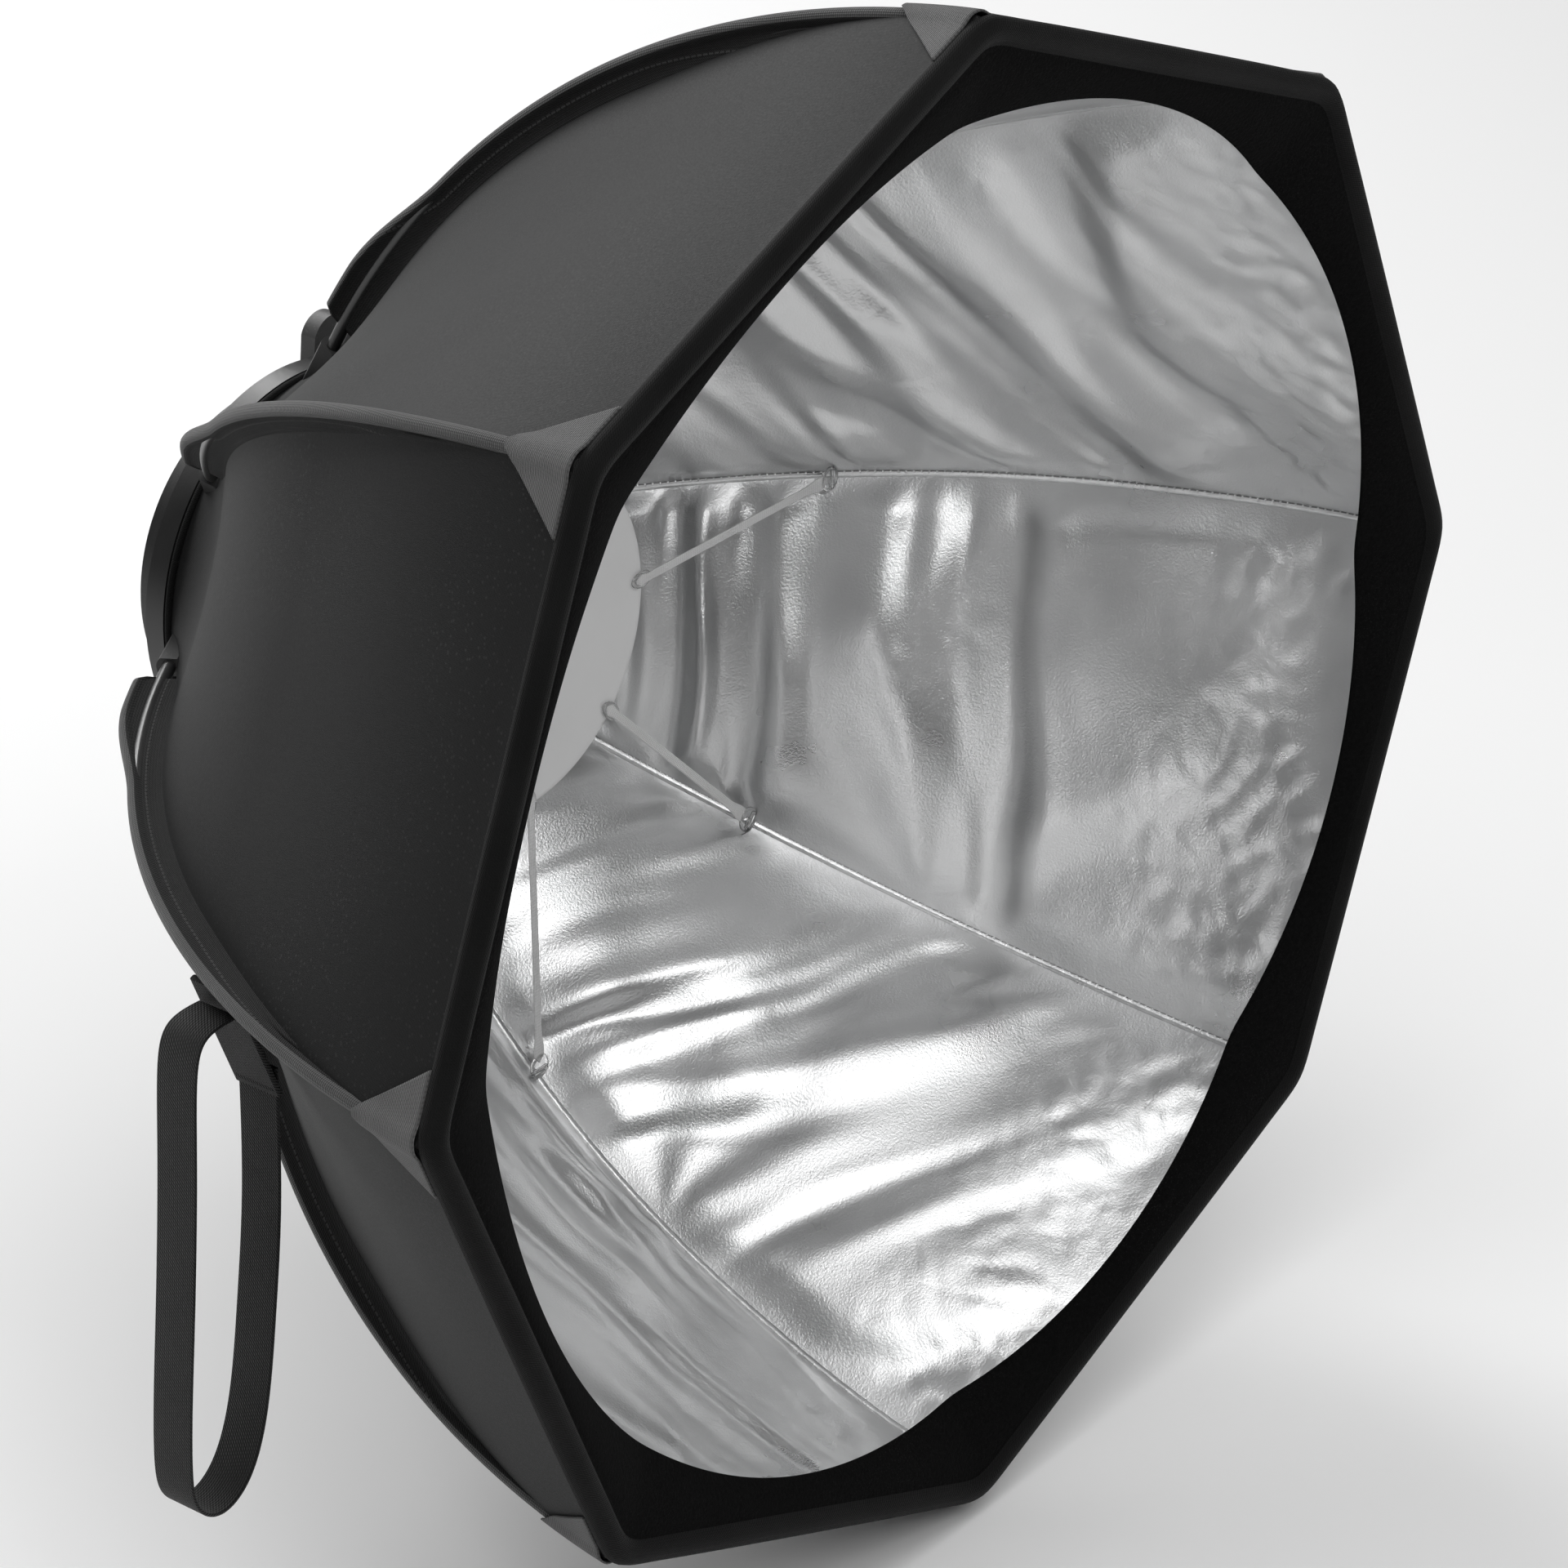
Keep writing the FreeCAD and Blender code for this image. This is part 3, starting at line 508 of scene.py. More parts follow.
cornerGrosgrain = wovenMaterial("cornerGrosgrain", dict(
    gloss=0.2, along=520.0, across=1150.0, slant=0.0, balance=0.8,
    dark=0.085, light=0.12, gap=0.015, sheen=0.2, rough=0.72, bump=1.0))
bindingKnit = wovenMaterial("bindingKnit", dict(
    gloss=0.07, along=900.0, across=900.0, slant=1.0, balance=0.3,
    dark=0.0045, light=0.008, gap=0.0015, sheen=0.05, rough=0.72, bump=0.5))
strapWebbing = wovenMaterial("strapWebbing", dict(
    gloss=0.14, along=620.0, across=900.0, slant=0.7, balance=0.4,
    dark=0.012, light=0.019, gap=0.002, sheen=0.12, rough=0.6, bump=1.0))
whiteElastic = wovenMaterial("whiteElastic", dict(
    gloss=0.3, along=700.0, across=1400.0, slant=0.0, balance=0.6,
    dark=0.74, light=0.82, gap=0.5, sheen=0.1, rough=0.6, bump=0.5))
print("materials made")

# Cloth: "skirt" is where it leaves the bow for the hub, "flare" how it swells towards the lip.
outerCloth = {
    "front": -0.3835, "rootAngle": math.radians(62.4), "depth": 0.009, "flare": 0.0126, "flareEnd": 0.42,
    "sag": 0.006, "across": 26, "along": 120, "folds": 0.0004,
    "skirtFrom": 0.86, "skirtEnd": (0.0880, -0.0318),
}
liningCloth = {
    "front": -0.3835, "rootAngle": math.radians(62.4), "depth": 0.0116, "flare": 0.004, "flareEnd": 0.3,
    "sag": 0.0115, "across": 44, "along": 168,
    "skirtFrom": 0.84, "skirtEnd": (0.0900, -0.0455),
    "inset": 0.0012, "room": 0.003, "crushSize": 0.026, "finerSize": 0.014, "lipBand": 0.10,
}

# Folds of the silver lining, panel by panel, going round from rib 1. Each row of "waves" is a set of parallel
# folds: turn in degrees (0 has them run along the rib), pitch and height in metres, where along the panel they
# lie and how far they reach. Each row of "fans" is a set of folds that spread from a pinched point: place across
# and along, how many, height, reach.
liningFolds = [
    {"seed": 11, "waves": [(12, 0.050, 0.0018, 0.5, 0.8), (20, 0.11, 0.0026, 0.5, 0.8)],
     "fans": [(1, 0.42, 6, 0.0007, 0.12)], "crumple": 0.0004},
    {"seed": 27, "waves": [(59, 0.036, 0.0018, 0.6, 0.5), (64, 0.085, 0.0046, 0.5, 0.7)],
     "fans": [(1, 0.42, 7, 0.0010, 0.12)], "crumple": 0.0007},
    {"seed": 35, "waves": [(82, 0.046, 0.0062, 0.74, 0.2), (74, 0.15, 0.0050, 0.3, 0.5)],
     "fans": [(0, 0.42, 6, 0.0008, 0.10), (1, 0.42, 7, 0.0010, 0.12)], "crumple": 0.0008},
    {"seed": 48, "waves": [(-60, 0.040, 0.0011, 0.5, 0.7), (-55, 0.088, 0.0024, 0.45, 0.8)],
     "fans": [(1, 0.42, 8, 0.0012, 0.14), (0, 0.06, 8, 0.0008, 0.12)], "crumple": 0.0005},
    {"seed": 52, "waves": [(-14, 0.034, 0.0016, 0.5, 0.8), (-8, 0.075, 0.0026, 0.5, 0.8)],
     "fans": [(0, 0.42, 7, 0.0010, 0.12)], "crumple": 0.0005},
    {"seed": 63, "waves": [(30, 0.045, 0.0016, 0.5, 0.8), (36, 0.1, 0.0026, 0.5, 0.8)],
     "fans": [(0, 0.42, 7, 0.0008, 0.12)], "crumple": 0.0006},
    {"seed": 74, "waves": [(-48, 0.045, 0.0016, 0.5, 0.8), (-40, 0.1, 0.0026, 0.5, 0.8)],
     "fans": [(1, 0.42, 7, 0.0008, 0.12)], "crumple": 0.0006},
    {"seed": 85, "waves": [(40, 0.042, 0.0016, 0.5, 0.8), (30, 0.09, 0.0026, 0.5, 0.8)],
     "fans": [(0, 0.42, 7, 0.0008, 0.12)], "crumple": 0.0005},
]


def bowAngles(cloth, t):
    radius = bow["radius"] - cloth["depth"] + cloth["flare"]
    first = math.asin((cloth["front"] + bowDepth) / radius)
    return first + (cloth["rootAngle"] - first) * t


def bowLine(cloth, t):
    # radius and depth of the seam on a rib, from the lip at 0 to the hub at 1
    angle = bowAngles(cloth, t)
    radius = bow["radius"] - cloth["depth"] + cloth["flare"] * (1 - smooth(t / cloth["flareEnd"]))
    radial, y = bowRadial + radius * np.cos(angle), radius * np.sin(angle) - bowDepth
    # near the hub the outer cloth runs on over the hinges to the ring, and the lining ends clear of the collar
    part = smooth((t - cloth["skirtFrom"]) / (1 - cloth["skirtFrom"]))
    return radial + part * (cloth["skirtEnd"][0] - radial), y + part * (cloth["skirtEnd"][1] - y)


def foldHeight(panel, x, s, u, t):
    plan = liningFolds[panel - 1]
    seed = plan["seed"]
    height = 0 * x
    drift = softNoise(x, s, 0.16, seed)
    for n, (turn, pitch, tall, place, reach) in enumerate(plan["waves"]):
        a = math.radians(turn)
        q = x * math.cos(a) + s * math.sin(a)
        run = s * math.cos(a) - x * math.sin(a)
        bunched = 0.22 * np.sin(2 * math.pi * q / (2.7 * pitch) + seed)
        q = q + bunched * pitch + 0.16 * pitch * softNoise(x, s, 0.2, seed + n + 1)
        swell = 0.3 + 0.7 * smooth(0.5 + 0.6 * softNoise(q * 2.2, run * 0.8, 0.14, seed + n + 20))
        band = np.exp(-(((t - place) / reach) ** 2) * 1.3)
        wave = np.cos(2 * math.pi * q / pitch) + 0.3 * np.cos(4 * math.pi * q / pitch + 1.3 + drift)
        height = height + tall * wave * swell * band
    width = np.abs(x).max(axis=1, keepdims=True) * 2
    for n, (across, along, count, tall, reach) in enumerate(plan["fans"]):
        px, ps = (across - 0.5) * width, along * s.max()
        dx, ds = x - px, s - ps
        away = np.hypot(dx, ds)
        way = np.arctan2(ds, np.abs(dx) + 1e-4)
        grow = (away / reach) * np.exp(1 - away / reach)
        height = height + tall * grow * np.cos(count * way + 0.8 * softNoise(x, s, 0.1, seed + n + 40) + n)
    # crushed cloth near the lip and in a few patches
    crush = 1 - np.abs(softNoise(x, s, liningCloth["crushSize"], seed + 60, 14))
    finer = 1 - np.abs(softNoise(x, s, liningCloth["finerSize"], seed + 61, 14))
    where = smooth(1.15 - s / liningCloth["lipBand"]) + 0.5 * smooth(softNoise(x, s, 0.12, seed + 62) - 0.5)
    height = height + plan["crumple"] * (crush + 0.45 * finer) * np.clip(where, 0, 1)
    edges = smooth(np.minimum(u, 1 - u) * 9) * smooth((1 - t) * 12) * smooth(t * 14 + 0.2)
    # the outer cloth is close behind, so the folds stand inwards more than outwards
    room = liningCloth["room"]
    height = height - liningCloth["inset"]
    return np.where(height > 0, room * np.tanh(height / room), height) * edges


def panelSurface(panel, cloth, isLining):
    u = np.linspace(0, 1, 2 * cloth["across"] + 1)
    t = np.linspace(0, 1, cloth["along"] + 1)
    angle = bowAngles(cloth, t)
    radius, y = bowLine(cloth, t)
    starts, ends = inRibPlane(panel, radius, y), inRibPlane(panel + 1, radius, y)
    points = starts[:, None] * (1 - u[None, :, None]) + ends[:, None] * u[None, :, None]
    way = (panel - 0.5) * step
    out = np.outer(np.cos(angle), wayAt(way)) + np.outer(np.sin(angle) * math.cos(step / 2), dishAxis)
    out /= np.linalg.norm(out, axis=-1, keepdims=True)
    width = np.linalg.norm(ends - starts, axis=-1)[:, None]
    x = (u[None] - 0.5) * width
    s = np.repeat(runLengths(starts, 0)[:, None], len(u), 1)
    uu, tt = np.meshgrid(u, t)
    bell = (4 * uu * (1 - uu)) * np.clip(4 * tt * (1 - tt), 0, 1) ** 0.7
    height = -cloth["sag"] * bell
    if isLining:
        height = height + foldHeight(panel, x, s, uu, tt)
    else:
        height = height + cloth["folds"] * softNoise(x, s, 0.12, 200 + panel) * bell
    points = points + out[:, None] * height[..., None]
    if not isLining:
        # its hub edge is drawn round, along the ring
        bulge = smooth((t - cloth["skirtFrom"]) / (1 - cloth["skirtFrom"])) * radius * (1 - math.cos(step / 2))
        points = points + (bulge[:, None] * 4 * uu * (1 - uu))[..., None] * wayAt(way)
    normals = np.cross(np.gradient(points, axis=1), np.gradient(points, axis=0))
    normals /= np.linalg.norm(normals, axis=-1, keepdims=True)
    sign = 1 if (normals * out[:, None]).sum(-1).mean() > 0 else -1
    return {"points": points, "normals": normals * sign, "uv": np.stack([s, x], -1), "sign": sign}


def ribPanel(name, k, surfaces, cloth, isLining):
    # the two half panels that a rib carries, creased at the rib and cut across into bands
    n = cloth["across"]
    before, after = surfaces[(k - 2) % 8 + 1], surfaces[k]
    points, uv, right = (
        np.concatenate([before[what][:, n:-1], after[what][:, : n + 1]], 1)
        for what in ("points", "uv", "normals"))
    left = np.concatenate([before["normals"][:, n:], after["normals"][:, 1 : n + 1]], 1)
    rows, columns = points.shape[:2]
    inward = -1 if isLining else 1
    flip = before["sign"] * inward < 0
    order = [(0, 0), (0, 1), (1, 1), (1, 0)]
    if flip:
        order = order[::-1]
    corners = np.zeros((rows - 1, columns - 1, 4, 3))
    for place, (down, over) in enumerate(order):
        for side, part in ((left, slice(0, n)), (right, slice(n, columns - 1))):
            columnsAt = np.arange(columns - 1)[part] + over
            corners[:, part, place] = side[down : rows - 1 + down][:, columnsAt] * inward
    cuts = [round(edge * (rows - 1)) for edge in bandEdges]
    bands = []
    for number, (first, last) in enumerate(zip(cuts, cuts[1:]), 1):
        part, faces = slice(first, last + 1), gridFaces(last + 1 - first, columns, flip)
        band = f"{name}_{k}_band_{number}"
        bands.append(meshPiece(band, points[part], faces, uv[part], corners[first:last]))
    return bands


bandEdges = (0, 0.16, 0.34, 0.5, 0.64, 0.76, 0.88, 1)
outerSurfaces = {j: panelSurface(j, outerCloth, False) for j in ribs}
liningSurfaces = {j: panelSurface(j, liningCloth, True) for j in ribs}
panelKinds = [
    # name, surfaces, cloth, slot, material, replaced node
    ("outer_panel", outerSurfaces, outerCloth, "outer_cloth", coatedCloth, "outer_gore"),
    ("silver_panel", liningSurfaces, liningCloth, "silver_lining", silver, "inner_gore"),
]


def flatSizes(cloth):
    # each band cut flat: its wider edge, its length along the rib, and its area
    t = np.linspace(0, 1, 401)
    radius, y = bowLine(cloth, t)
    width = 2 * radius * math.sin(step / 2)
    run = runLengths(np.stack([radius, y], -1), 0)
    found = []
    for first, last in zip(bandEdges, bandEdges[1:]):
        part = (t >= first) & (t <= last)
        long_ = float(run[part][-1] - run[part][0])
        found.append((float(width[part].max()), long_, float(width[part].mean()) * long_))
    return found


bandFlats = {kind[0]: flatSizes(kind[2]) for kind in panelKinds}
for k in ribs:
    for name, surfaces, cloth, slot, material, node in panelKinds:
        bands = ribPanel(name, k, surfaces, cloth, name == "silver_panel")
        for number, band in enumerate(bands):
            hang(band, f"rib_{k}", slot, material, replaces=[f"{node}_{k}"] if number == 0 else ())
            gathers(band)
            wide, long_, area = bandFlats[name][number]
print("cloth panels made")

# Sleeves over the ribs, sizes in metres; "wing" is how far the hub end stands out from the bow.
sleeve = {
    "crestRadius": 0.0033, "crestCentre": 0.0003, "waist": 0.0024, "foot": 0.0036,
    "wing": 0.008, "wingFrom": 0.70, "wingRun": 0.17, "first": 0.012, "last": 0.93,
    "rows": 160, "bandColumns": 8,
}


def ribFrame(k, t):
    # on the rod's line: points, the way across and the way out
    angle = bowAngles(outerCloth, t)
    radial, y = bowRadial + bow["radius"] * np.cos(angle), bow["radius"] * np.sin(angle) - bowDepth
    return inRibPlane(k, radial, y), steady(ribAcross(k), len(t)), inRibPlane(k, np.cos(angle), np.sin(angle))


def sleeveProfile(t):
    # depth of the panel's ridge below the rod at each place
    ridge = -outerCloth["depth"] + outerCloth["flare"] * (1 - smooth(t / outerCloth["flareEnd"]))
    crests = sleeve["crestCentre"] + sleeve["wing"] * smooth((t - sleeve["wingFrom"]) / sleeve["wingRun"])
    r, waist, wide = sleeve["crestRadius"], sleeve["waist"], sleeve["foot"]
    rows = []
    for low, crest in zip(ridge, crests):
        neck = crest - r * 0.75
        foot = min(low - 0.0010, neck - 0.0015)
        side = [(wide, foot - 0.0010), (wide * 0.93, foot + 0.0003), (waist * 1.12, foot + 0.0012)]
        side += [(waist, foot + (neck - foot) * part) for part in (0.45, 0.75)] + [(waist * 1.02, neck)]
        for n in range(1, 9):
            a = math.radians(-44 + 134 * n / 8)
            side.append((r * math.cos(a), crest + r * math.sin(a)))
        rows.append(side + [(-x, h) for x, h in side[::-1][1:]])
    # both ends are drawn in round the rod
    ends = np.minimum((t - t[0]) / 0.004, (t[-1] - t) / 0.012)
    narrow = np.sqrt(1 - (1 - np.clip(ends, 0.02, 1)) ** 2)[:, None]
    rows = np.array(rows)
    rows[..., 0] *= narrow
    rows[..., 1] = rows[:, :1, 1] + (rows[..., 1] - rows[:, :1, 1]) * narrow
    return rows


for k in ribs:
    t = np.linspace(sleeve["first"], sleeve["last"], sleeve["rows"])
    profile = sleeveProfile(t)
    fin = sweep(f"rib_sleeve_{k}", *ribFrame(k, t), profile, closed=False, flip=True)
    column = np.arange(profile.shape[1] - 1)
    isCrest = (column >= sleeve["bandColumns"]) & (column < len(column) - sleeve["bandColumns"])
    hang(fin, f"rib_{k}", "sleeve_webbing", sleeveBand, crestTape, replaces=[f"sleeve_{k}"])
    fin.data.polygons.foreach_set("material_index", np.tile(isCrest.astype(int), sleeve["rows"] - 1))
    fin.data.update()
print("rib sleeves made")

# Corner patches of ribbed tape over the rib tips
patch = {
    "back": 0.034, "wide": 0.027, "tip": 0.0015, "lift": 0.0010, "shoulder": 0.0085, "crest": 0.0048,
    "thick": 0.0009, "rows": 20,
}


def clothPoint(panel, u, t):
    surface = outerSurfaces[(panel - 1) % 8 + 1]
    rows, columns = surface["points"].shape[:2]
    r, c = t * (rows - 1), u * (columns - 1)
    i, j = min(int(r), rows - 2), min(int(c), columns - 2)
    a, b = r - i, c - j
    grid = (surface["points"] + surface["normals"] * patch["lift"])[i : i + 2, j : j + 2]
    return (grid[0, 0] * (1 - b) + grid[0, 1] * b) * (1 - a) + (grid[1, 0] * (1 - b) + grid[1, 1] * b) * a


for k in ribs:
    length = float(runLengths(outerSurfaces[k]["points"][:, 0], 0)[-1])
    span = float(np.linalg.norm(outerSurfaces[k]["points"][0, 0] - outerSurfaces[k]["points"][0, -1]))
    n = patch["rows"]
    points = []
    for p in np.linspace(0, 1, n + 1):
        t = patch["back"] / length * (1 - p)
        spine, across, out = ribFrame(k, np.array([t]))
        crest = spine[0] + out[0] * patch["crest"]
        row = []
        for q in np.linspace(-1, 1, 2 * n + 1):
            x = abs(q) * (patch["tip"] + p * patch["wide"])
            lying = clothPoint(k, x / span, t) if q >= 0 else clothPoint(k - 1, 1 - x / span, t)
            over = 1 - smooth(x / patch["shoulder"])
            row.append(lying * (1 - over) + (crest + across[0] * x * np.sign(q)) * over)
        points.append(row)
    over, along = np.meshgrid(np.arange(-n, n + 1) / n * patch["wide"], np.linspace(0, patch["back"], n + 1))
    faces = gridFaces(n + 1, 2 * n + 1, True)
    piece = meshPiece(f"corner_patch_{k}", points, faces, np.stack([over, along], -1))
    hang(piece, f"rib_{k}", "sleeve_webbing", cornerGrosgrain)
    thicken = piece.modifiers.new("Solidify", "SOLIDIFY")
    thicken.thickness, thicken.offset = patch["thick"], 0.0
print("corner patches made")

# Front lip with its rolled binding. The roll is measured inwards and back from the octagon's edge and the front,
# the fold from the hole's edge.
lipShape = {
    "holeRadius": 0.2815, "roundCorner": 0.030, "binding": 0.0112, "slope": 0.0125, "columns": 72,
    "roll": [(0.0042, 0.0105), (0.0016, 0.0092), (0.0004, 0.0070), (0.0002, 0.0048), (0.0010, 0.0026),
             (0.0026, 0.0009), (0.0048, 0.0001), (0.0070, 0.0002), (0.0090, 0.0010), (0.0104, 0.0020),
             (0.0112, 0.0030), (0.0116, 0.0033)],
    "fold": [(-0.0001, 0.0005), (0.0, 0.0012), (-0.0003, 0.0020), (-0.0014, 0.0026), (-0.006, 0.0028),
             (-0.013, 0.0024)],
    "flat": (0.2528, 0.085), "flatArea": 0.0172,
}


def lipOutline(turn):
    # the octagon's edge at an angle from the corner, with the corner rounded
    blunt = lipShape["roundCorner"]
    soft = np.sqrt(turn**2 + blunt**2) - blunt * 0.35 * np.exp(-((turn / 0.05) ** 2))
    return cornerRadius * math.cos(step / 2) / np.cos(step / 2 - np.minimum(soft, step / 2))


def lipProfile(edge):
    # radius inwards and depth from the back of the roll, over the front and down to the hole's folded edge
    hole = edge - lipShape["holeRadius"]
    start = lipShape["roll"][-1][0]
    flat = []
    for p in np.linspace(0, 1, 13)[1:]:
        slope = lipShape["slope"] * (0.35 * p + 0.65 * p * p) * hole / 0.045
        flat.append((start + (hole - 0.0008 - start) * p, 0.0027 + 0.0006 * (1 - p) ** 6 + slope))
    return lipShape["roll"] + flat + [(hole + inward, flat[-1][1] + back) for inward, back in lipShape["fold"]]


for k in ribs:
    turns = np.linspace(-step / 2, step / 2, lipShape["columns"] + 1)
    columns = []
    for turn, edge in zip(turns, lipOutline(turns)):
        way = wayAt((k - 1) * step + turn)
        profile = lipProfile(edge)
        columns.append([way * (edge - inward) + dishAxis * (frontY + back) for inward, back in profile])
    points = np.array(columns)
    over = runLengths(points, 1)
    along = (turns / step * lipShape["flat"][0])[:, None] * np.ones((1, points.shape[1]))
    faces = gridFaces(*points.shape[:2], True)
    piece = meshPiece(f"front_lip_{k}", points, faces, np.stack([along, over], -1))
    hang(piece, f"rib_{k}", "lip_cloth", velour, bindingKnit, replaces=[f"lip_{k}"])
    isBinding = np.arange(points.shape[1] - 1) < len(lipShape["roll"]) - 1
    piece.data.polygons.foreach_set("material_index", np.tile(isBinding.astype(int), lipShape["columns"]))
    piece.data.update()
    gathers(piece)
print("front lip made")

# Seams on the lining, hem of the outer cloth at the hub
seam = {"half": 0.0016, "tall": 0.0011, "sink": 0.0004, "wobble": 0.0001, "rows": 140}
hem = {"radius": 0.0017}
half, tall = seam["half"], seam["tall"]
seamShape = [(-half * 1.2, 0.0002), (-half, -tall * 0.5), (-half * 0.5, -tall), (half * 0.3, -tall * 1.1),
             (half, -tall * 0.7), (half * 1.3, 0.0002)]
for k in ribs:
    t = np.linspace(0.01, 0.985, seam["rows"])
    radius, y = bowLine(liningCloth, t)
    angle = bowAngles(liningCloth, t)
    profile = steady(seamShape, len(t))
    profile[..., 1] -= seam["sink"] + seam["wobble"] * np.sin(t * 260 + k)[:, None]
    spine, out = inRibPlane(k, radius, y), inRibPlane(k, np.cos(angle), np.sin(angle))
    piece = sweep(f"lining_seam_{k}", spine, steady(ribAcross(k), len(t)), out, profile, closed=False)
    hang(piece, f"rib_{k}", "silver_lining", stitchedSilver)

    before, after = outerSurfaces[(k - 2) % 8 + 1], outerSurfaces[k]
    n = outerCloth["across"]
    line, normal = (
        np.concatenate([before[what][-1, n:-1], after[what][-1, : n + 1]], 0)
        for what in ("points", "normals"))
    back = np.cross(np.gradient(line, axis=0), normal)
    back /= np.linalg.norm(back, axis=-1, keepdims=True)
    piece = sweep(f"hub_hem_{k}", line, back, normal, roundWire(hem["radius"]))
    hang(piece, f"rib_{k}", "outer_cloth", bindingKnit)
print("seams and hems made")

# Deflector with its elastic straps, the clear eyes on it and the clips on the lining's seams
deflector = {"radius": 0.077, "thick": 0.0012, "bevel": 0.0004, "lip": 0.0003, "segments": 160}
discLow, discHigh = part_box("deflector_disc")
discY = (discLow.y + discHigh.y) / 2
half, rim, lip = deflector["thick"] / 2, deflector["radius"], deflector["lip"]
discRings = [
    (0.0, -half), (0.02, -half), (0.05, -half), (rim - 0.0025, -half), (rim - deflector["bevel"], -half),
    (rim, lip - half), (rim, half - lip), (rim - deflector["bevel"], half), (0.06, half), (0.0, half),
]
angles = np.linspace(0, 2 * math.pi, deflector["segments"], endpoint=False)
points = np.array([[(r * math.sin(a), discY + y, r * math.cos(a)) for a in angles] for r, y in discRings])
disc = meshPiece("white_deflector", points, gridFaces(len(discRings), len(angles), False, wrap=True))
weld(disc, 1e-5)
hang(disc, "turning_ring", "deflector_plastic", whitePlastic, replaces=["deflector_disc"])

elastic = {
    "half": 0.0020, "thick": 0.0009, "flare": 0.0034, "inner": 0.0715, "y": -0.15075, "lift": 0.0007,
    "rows": 44, "bendFrom": 0.078, "bendShort": 0.012,
}
clip = {
    "radius": 0.0050, "wire": 0.0008, "centre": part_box("elastic_straps")[1].z + 0.0058, "y": -0.1515,
    "barHalf": 0.0048, "barOff": 0.0016, "loopFrom": 0.003, "loopTo": 0.0078,
}
eye = {"place": 0.0757, "off": 0.0011, "across": 0.0030, "outward": 0.0056, "wire": 0.0007}


def hoop(name, k, centre, across, outward, wire):
    # wire bent into a ring or an oval, square to the dish's axis
    side, way = ribAcross(k), ribWay(k)
    turns = list(np.linspace(0, 2 * math.pi, 40, endpoint=False)) + [0.0]
    spine = [centre + side * across * math.cos(a) + way * outward * math.sin(a) for a in turns]
    ways = np.array([side * outward * math.cos(a) + way * across * math.sin(a) for a in turns])
    ways /= np.linalg.norm(ways, axis=-1, keepdims=True)
    return sweep(name, spine, ways, steady(dishAxis, len(turns)), wire)


for k in ribs:
    way, side = ribWay(k), ribAcross(k)
    inner, stop = elastic["inner"], clip["centre"] - 0.0020
    place = np.linspace(inner, stop, elastic["rows"])
    ends = np.maximum(smooth((place - (stop - 0.016)) / 0.012), smooth((inner + 0.008 - place) / 0.006) * 0.6)
    outerTip, innerTip = np.clip((stop - place) / 0.0035, 0.02, 1), np.clip((place - inner) / 0.002, 0.05, 1)
    width = elastic["half"] + (elastic["flare"] - elastic["half"]) * ends
    width = width * np.minimum(np.sqrt(outerTip), np.sqrt(innerTip))
    halfThick = elastic["thick"] / 2
    profile = [roundBar(w, halfThick, min(halfThick, w) * 0.98, 3) for w in width]
    spine = np.outer(place, way) + dishAxis * (elastic["y"] - elastic["lift"])
    ways, tops = steady(side, len(place)), steady(-dishAxis, len(place))
    strap = sweep(f"elastic_strap_{k}", spine, ways, tops, profile)
    strap.data.materials.append(whiteElastic)
    if k == 1:
        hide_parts("elastic_straps")
    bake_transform(strap)

    centre = way * clip["centre"] + dishAxis * clip["y"]
    wire = roundWire(clip["wire"])
    ring = hoop(f"seam_clip_{k}", k, centre, clip["radius"], clip["radius"], wire)
    hang(ring, f"rib_{k}", "clear_plastic", clearPlastic)
    run = np.linspace(-clip["barHalf"], clip["barHalf"], 9)
    barSpine = [centre + side * x + way * clip["barOff"] for x in run]
    bar = sweep(f"clip_bar_{k}", barSpine, steady(way, 9), steady(dishAxis, 9), wire)
    hang(bar, f"rib_{k}", "clear_plastic", clearPlastic)
    run = np.linspace(clip["loopFrom"], clip["loopTo"], 10)
    loopSpine = [centre + way * x + dishAxis * 0.0012 * math.sin((x - clip["loopFrom"]) * 180) for x in run]
    band = roundBar(0.0034, 0.0006, 0.0005)
    loop = sweep(f"clip_loop_{k}", loopSpine, steady(side, 10), steady(dishAxis, 10), band)
    hang(loop, f"rib_{k}", "silver_lining", silver)
    centre = way * eye["place"] + dishAxis * (discLow.y - eye["off"])
    ring = hoop(f"strap_eye_{k}", k, centre, eye["across"], eye["outward"], roundWire(eye["wire"], 10))
    hang(ring, "turning_ring", "clear_plastic", clearPlastic)
print("deflector and straps made")

# Hanging strap under rib 7: the webbing loop, and the folded tab that holds it
strap = {
    "wide": 0.0200, "thick": 0.0015, "y": -0.240, "flat": (0.020, 0.425),
    "tabHalf": 0.0115, "tabThick": 0.0014, "tackHalf": 0.0098, "tackTall": 0.0016,
}
tabLow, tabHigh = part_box("strap_tab")
loopLow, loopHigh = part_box("strap_loop")


def strapSpine(corners, count=10):
    # a uniform cubic B-spline from the first corner to the last, near the corners between
    p = np.array([corners[0]] * 2 + corners + [corners[-1]] * 2, float)
    path = []
    for i in range(len(p) - 3):
        for f in np.linspace(0, 1, count, endpoint=False):
            b = np.array([(1 - f) ** 3, 3 * f**3 - 6 * f**2 + 4, -3 * f**3 + 3 * f**2 + 3 * f + 1, f**3]) / 6
            path.append(b @ p[i : i + 4])
    path = np.array(path + [p[-1]])
    spine = np.stack([path[:, 0], np.full(len(path), strap["y"]), path[:, 1]], -1)
    along = np.gradient(spine, axis=0)
    along /= np.linalg.norm(along, axis=-1, keepdims=True)
    ways = steady(dishAxis, len(spine))
    return spine, ways, np.cross(along, ways)


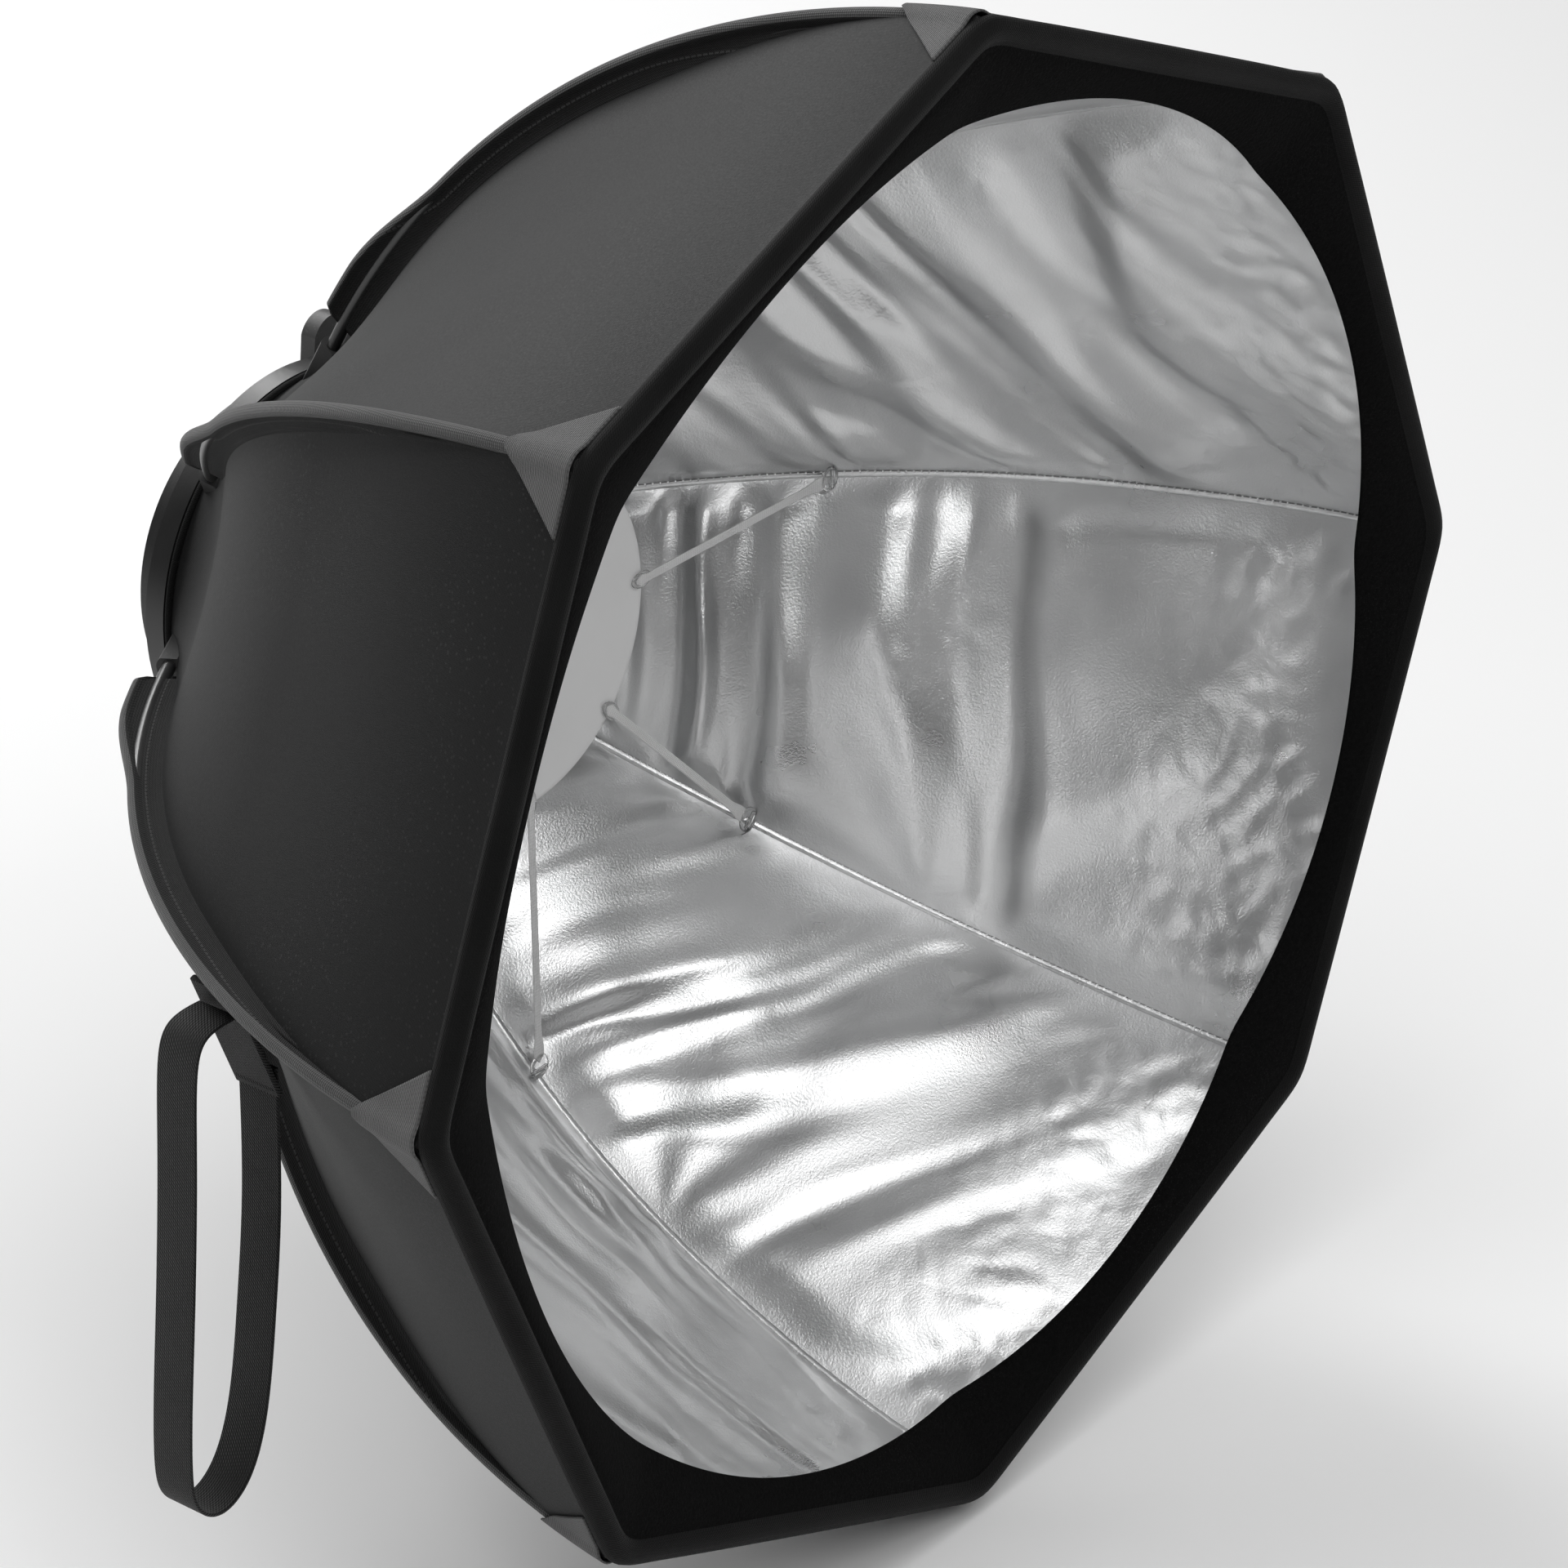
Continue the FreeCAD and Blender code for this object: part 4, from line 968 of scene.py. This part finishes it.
left, right, top, low = loopLow.x, loopHigh.x, loopHigh.z, loopLow.z
corners = [
    (tabLow.x + 0.0030, top - 0.0010), (left + 0.0290, top - 0.0005), (left + 0.0190, top - 0.0040),
    (left + 0.0160, top - 0.0250), (left + 0.0140, top - 0.0600), (left + 0.0085, top - 0.1150),
    (left + 0.0035, top - 0.1550), (left + 0.0008, low + 0.0240), (left + 0.0020, low + 0.0070),
    (left + 0.0150, low - 0.0040), (left + 0.0330, low + 0.0030), (left + 0.0450, low + 0.0300),
    (right - 0.0090, low + 0.0750), (right - 0.0020, low + 0.1200), (right - 0.0008, tabLow.z + 0.0120),
]
band = roundBar(strap["wide"] / 2, strap["thick"] / 2, 0.0006)
webbing = sweep("hanging_loop", *strapSpine(corners), band)
hang(webbing, "strap", "strap_webbing", strapWebbing, replaces=["strap_loop"])
sewn = np.array([(tabLow.x + tabHigh.x) / 2 - 0.0105, tabHigh.z - 0.0012])
held = np.array([tabHigh.x - 0.0015, tabLow.z + 0.0006])
fold = [tuple(sewn * (1 - f) + held * f) for f in np.linspace(0, 1, 6)]
tab = sweep("strap_anchor", *strapSpine(fold, 6), roundBar(strap["tabHalf"], strap["tabThick"], 0.0009))
hang(tab, "strap", "strap_webbing", strapWebbing, replaces=["strap_tab"])
for name, f in (("hem_tack", 0.93), ("loop_tack", 0.24)):
    place = sewn * (1 - f) + held * f
    tack = [tuple(place + [0, 0.0012]), tuple(place), tuple(place - [0, 0.0012])]
    piece = sweep(name, *strapSpine(tack, 3), roundBar(strap["tackHalf"], strap["tackTall"], 0.0006))
    hang(piece, "strap", "strap_webbing", strapWebbing)
print("hanging strap made")

# Finishes for the hard parts
finishes = {
    "mount_ring": ringPlastic, "retaining_ring": ringPlastic, "rib_ring": flangePlastic,
    "hub_cover": hubSilver, "ring_screws": zincSteel, "hinge_pins": zincSteel, "lever_pin": zincSteel,
    "lock_lever": leverPlastic,
}
for k in ribs:
    finishes[f"rod_{k}"] = rodPaint
    finishes[f"bracket_{k}"] = bracketPlastic
for node, material in finishes.items():
    piece = frame["nodes"][node]
    piece.data.materials.clear()
    piece.data.materials.append(material)
print("hard parts finished")

# Floor, light and camera
studio = {
    "floor": -0.3335, "floorHalf": 9, "floorColour": 0.90, "world": 0.07, "backdrop": 0.85,
    "lights": [
        # name, place, aim, width, height, power
        ("mouthLight", (-0.5, -2.8, 2.3), (0.05, -0.2, 0.0), 2.0, 1.4, 31.0),
        ("backLight", (0.9, 2.7, 1.9), (-0.1, 0.2, 0.1), 2.6, 1.7, 95.0),
        ("topLight", (-0.8, -0.6, 3.2), (-0.4, -0.2, 0.0), 3.8, 3.0, 88.0),
        ("leftLight", (-2.8, -1.6, 0.25), (0.2, -0.2, 0.0), 0.5, 0.9, 6.0),
    ],
}
reach = np.linspace(-studio["floorHalf"], studio["floorHalf"], 13)
grid = np.array([[(x, y, studio["floor"]) for x in reach] for y in reach])
floor = meshPiece("studio_floor", grid, gridFaces(13, 13))
floorSockets = {"Roughness": 0.75, "Specular IOR Level": 0.2}
floorMaterial, tree, shader, place, strip = newMaterial("studioFloor", floorSockets)
pale = studio["floorColour"]
dress(tree, shader, blendColour(tree, noise(tree, place, 1.5, 2.0)["Fac"], grey(pale * 0.99), grey(pale)))
floor.data.materials.append(floorMaterial)
floor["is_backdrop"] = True

for name, place, aim, wide, high, power in studio["lights"]:
    lamp = bpy.data.lights.new(name, "AREA")
    lamp.shape, lamp.size, lamp.size_y, lamp.energy = "RECTANGLE", wide, high, power
    holder = bpy.data.objects.new(name, lamp)
    holder.location = place
    holder.rotation_mode = "QUATERNION"
    holder.rotation_quaternion = (Vector(aim) - Vector(place)).to_track_quat("-Z", "Y")
    bpy.context.scene.collection.objects.link(holder)

world = bpy.data.worlds.new("softRoom")
world.use_nodes = True
# the room is dim, so that the foil has something dark to mirror, but seen directly it is as pale as the floor
tree = world.node_tree
room = tree.nodes["Background"]
room.inputs["Color"].default_value, room.inputs["Strength"].default_value = grey(1.0), studio["world"]
backdrop = addNode(tree, "ShaderNodeBackground", {"Color": grey(1.0), "Strength": studio["backdrop"]})
path = tree.nodes.new("ShaderNodeLightPath")
seen = {0: path.outputs["Is Camera Ray"], 1: room.outputs[0], 2: backdrop.outputs[0]}
either = addNode(tree, "ShaderNodeMixShader", seen)
tree.links.new(either.outputs[0], tree.nodes["World Output"].inputs["Surface"])
bpy.context.scene.world = world
bpy.context.scene.view_settings.view_transform = "Standard"

camera = {
    "place": (-1.6309, -1.6055, 1.0831), "azimuth": -51.08, "elevation": 27.80, "roll": -0.585, "lens": 134.79,
    "sensor": 36.0, "near": 0.05, "far": 40.0,
}
azimuth, elevation = math.radians(camera["azimuth"]), math.radians(camera["elevation"])
flat = math.cos(elevation)
back = Vector((math.sin(azimuth) * flat, -math.cos(azimuth) * flat, math.sin(elevation)))
lensData = bpy.data.cameras.new("productCamera")
lensData.lens, lensData.sensor_width = camera["lens"], camera["sensor"]
lensData.clip_start, lensData.clip_end = camera["near"], camera["far"]
cameraObject = bpy.data.objects.new("productCamera", lensData)
cameraObject.location = camera["place"]
cameraObject.rotation_mode = "QUATERNION"
roll = Quaternion((0, 0, 1), math.radians(camera["roll"]))
cameraObject.rotation_quaternion = (-back).to_track_quat("-Z", "Y") @ roll
bpy.context.scene.collection.objects.link(cameraObject)
bpy.context.scene.camera = cameraObject
print("studio ready")

low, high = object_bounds()
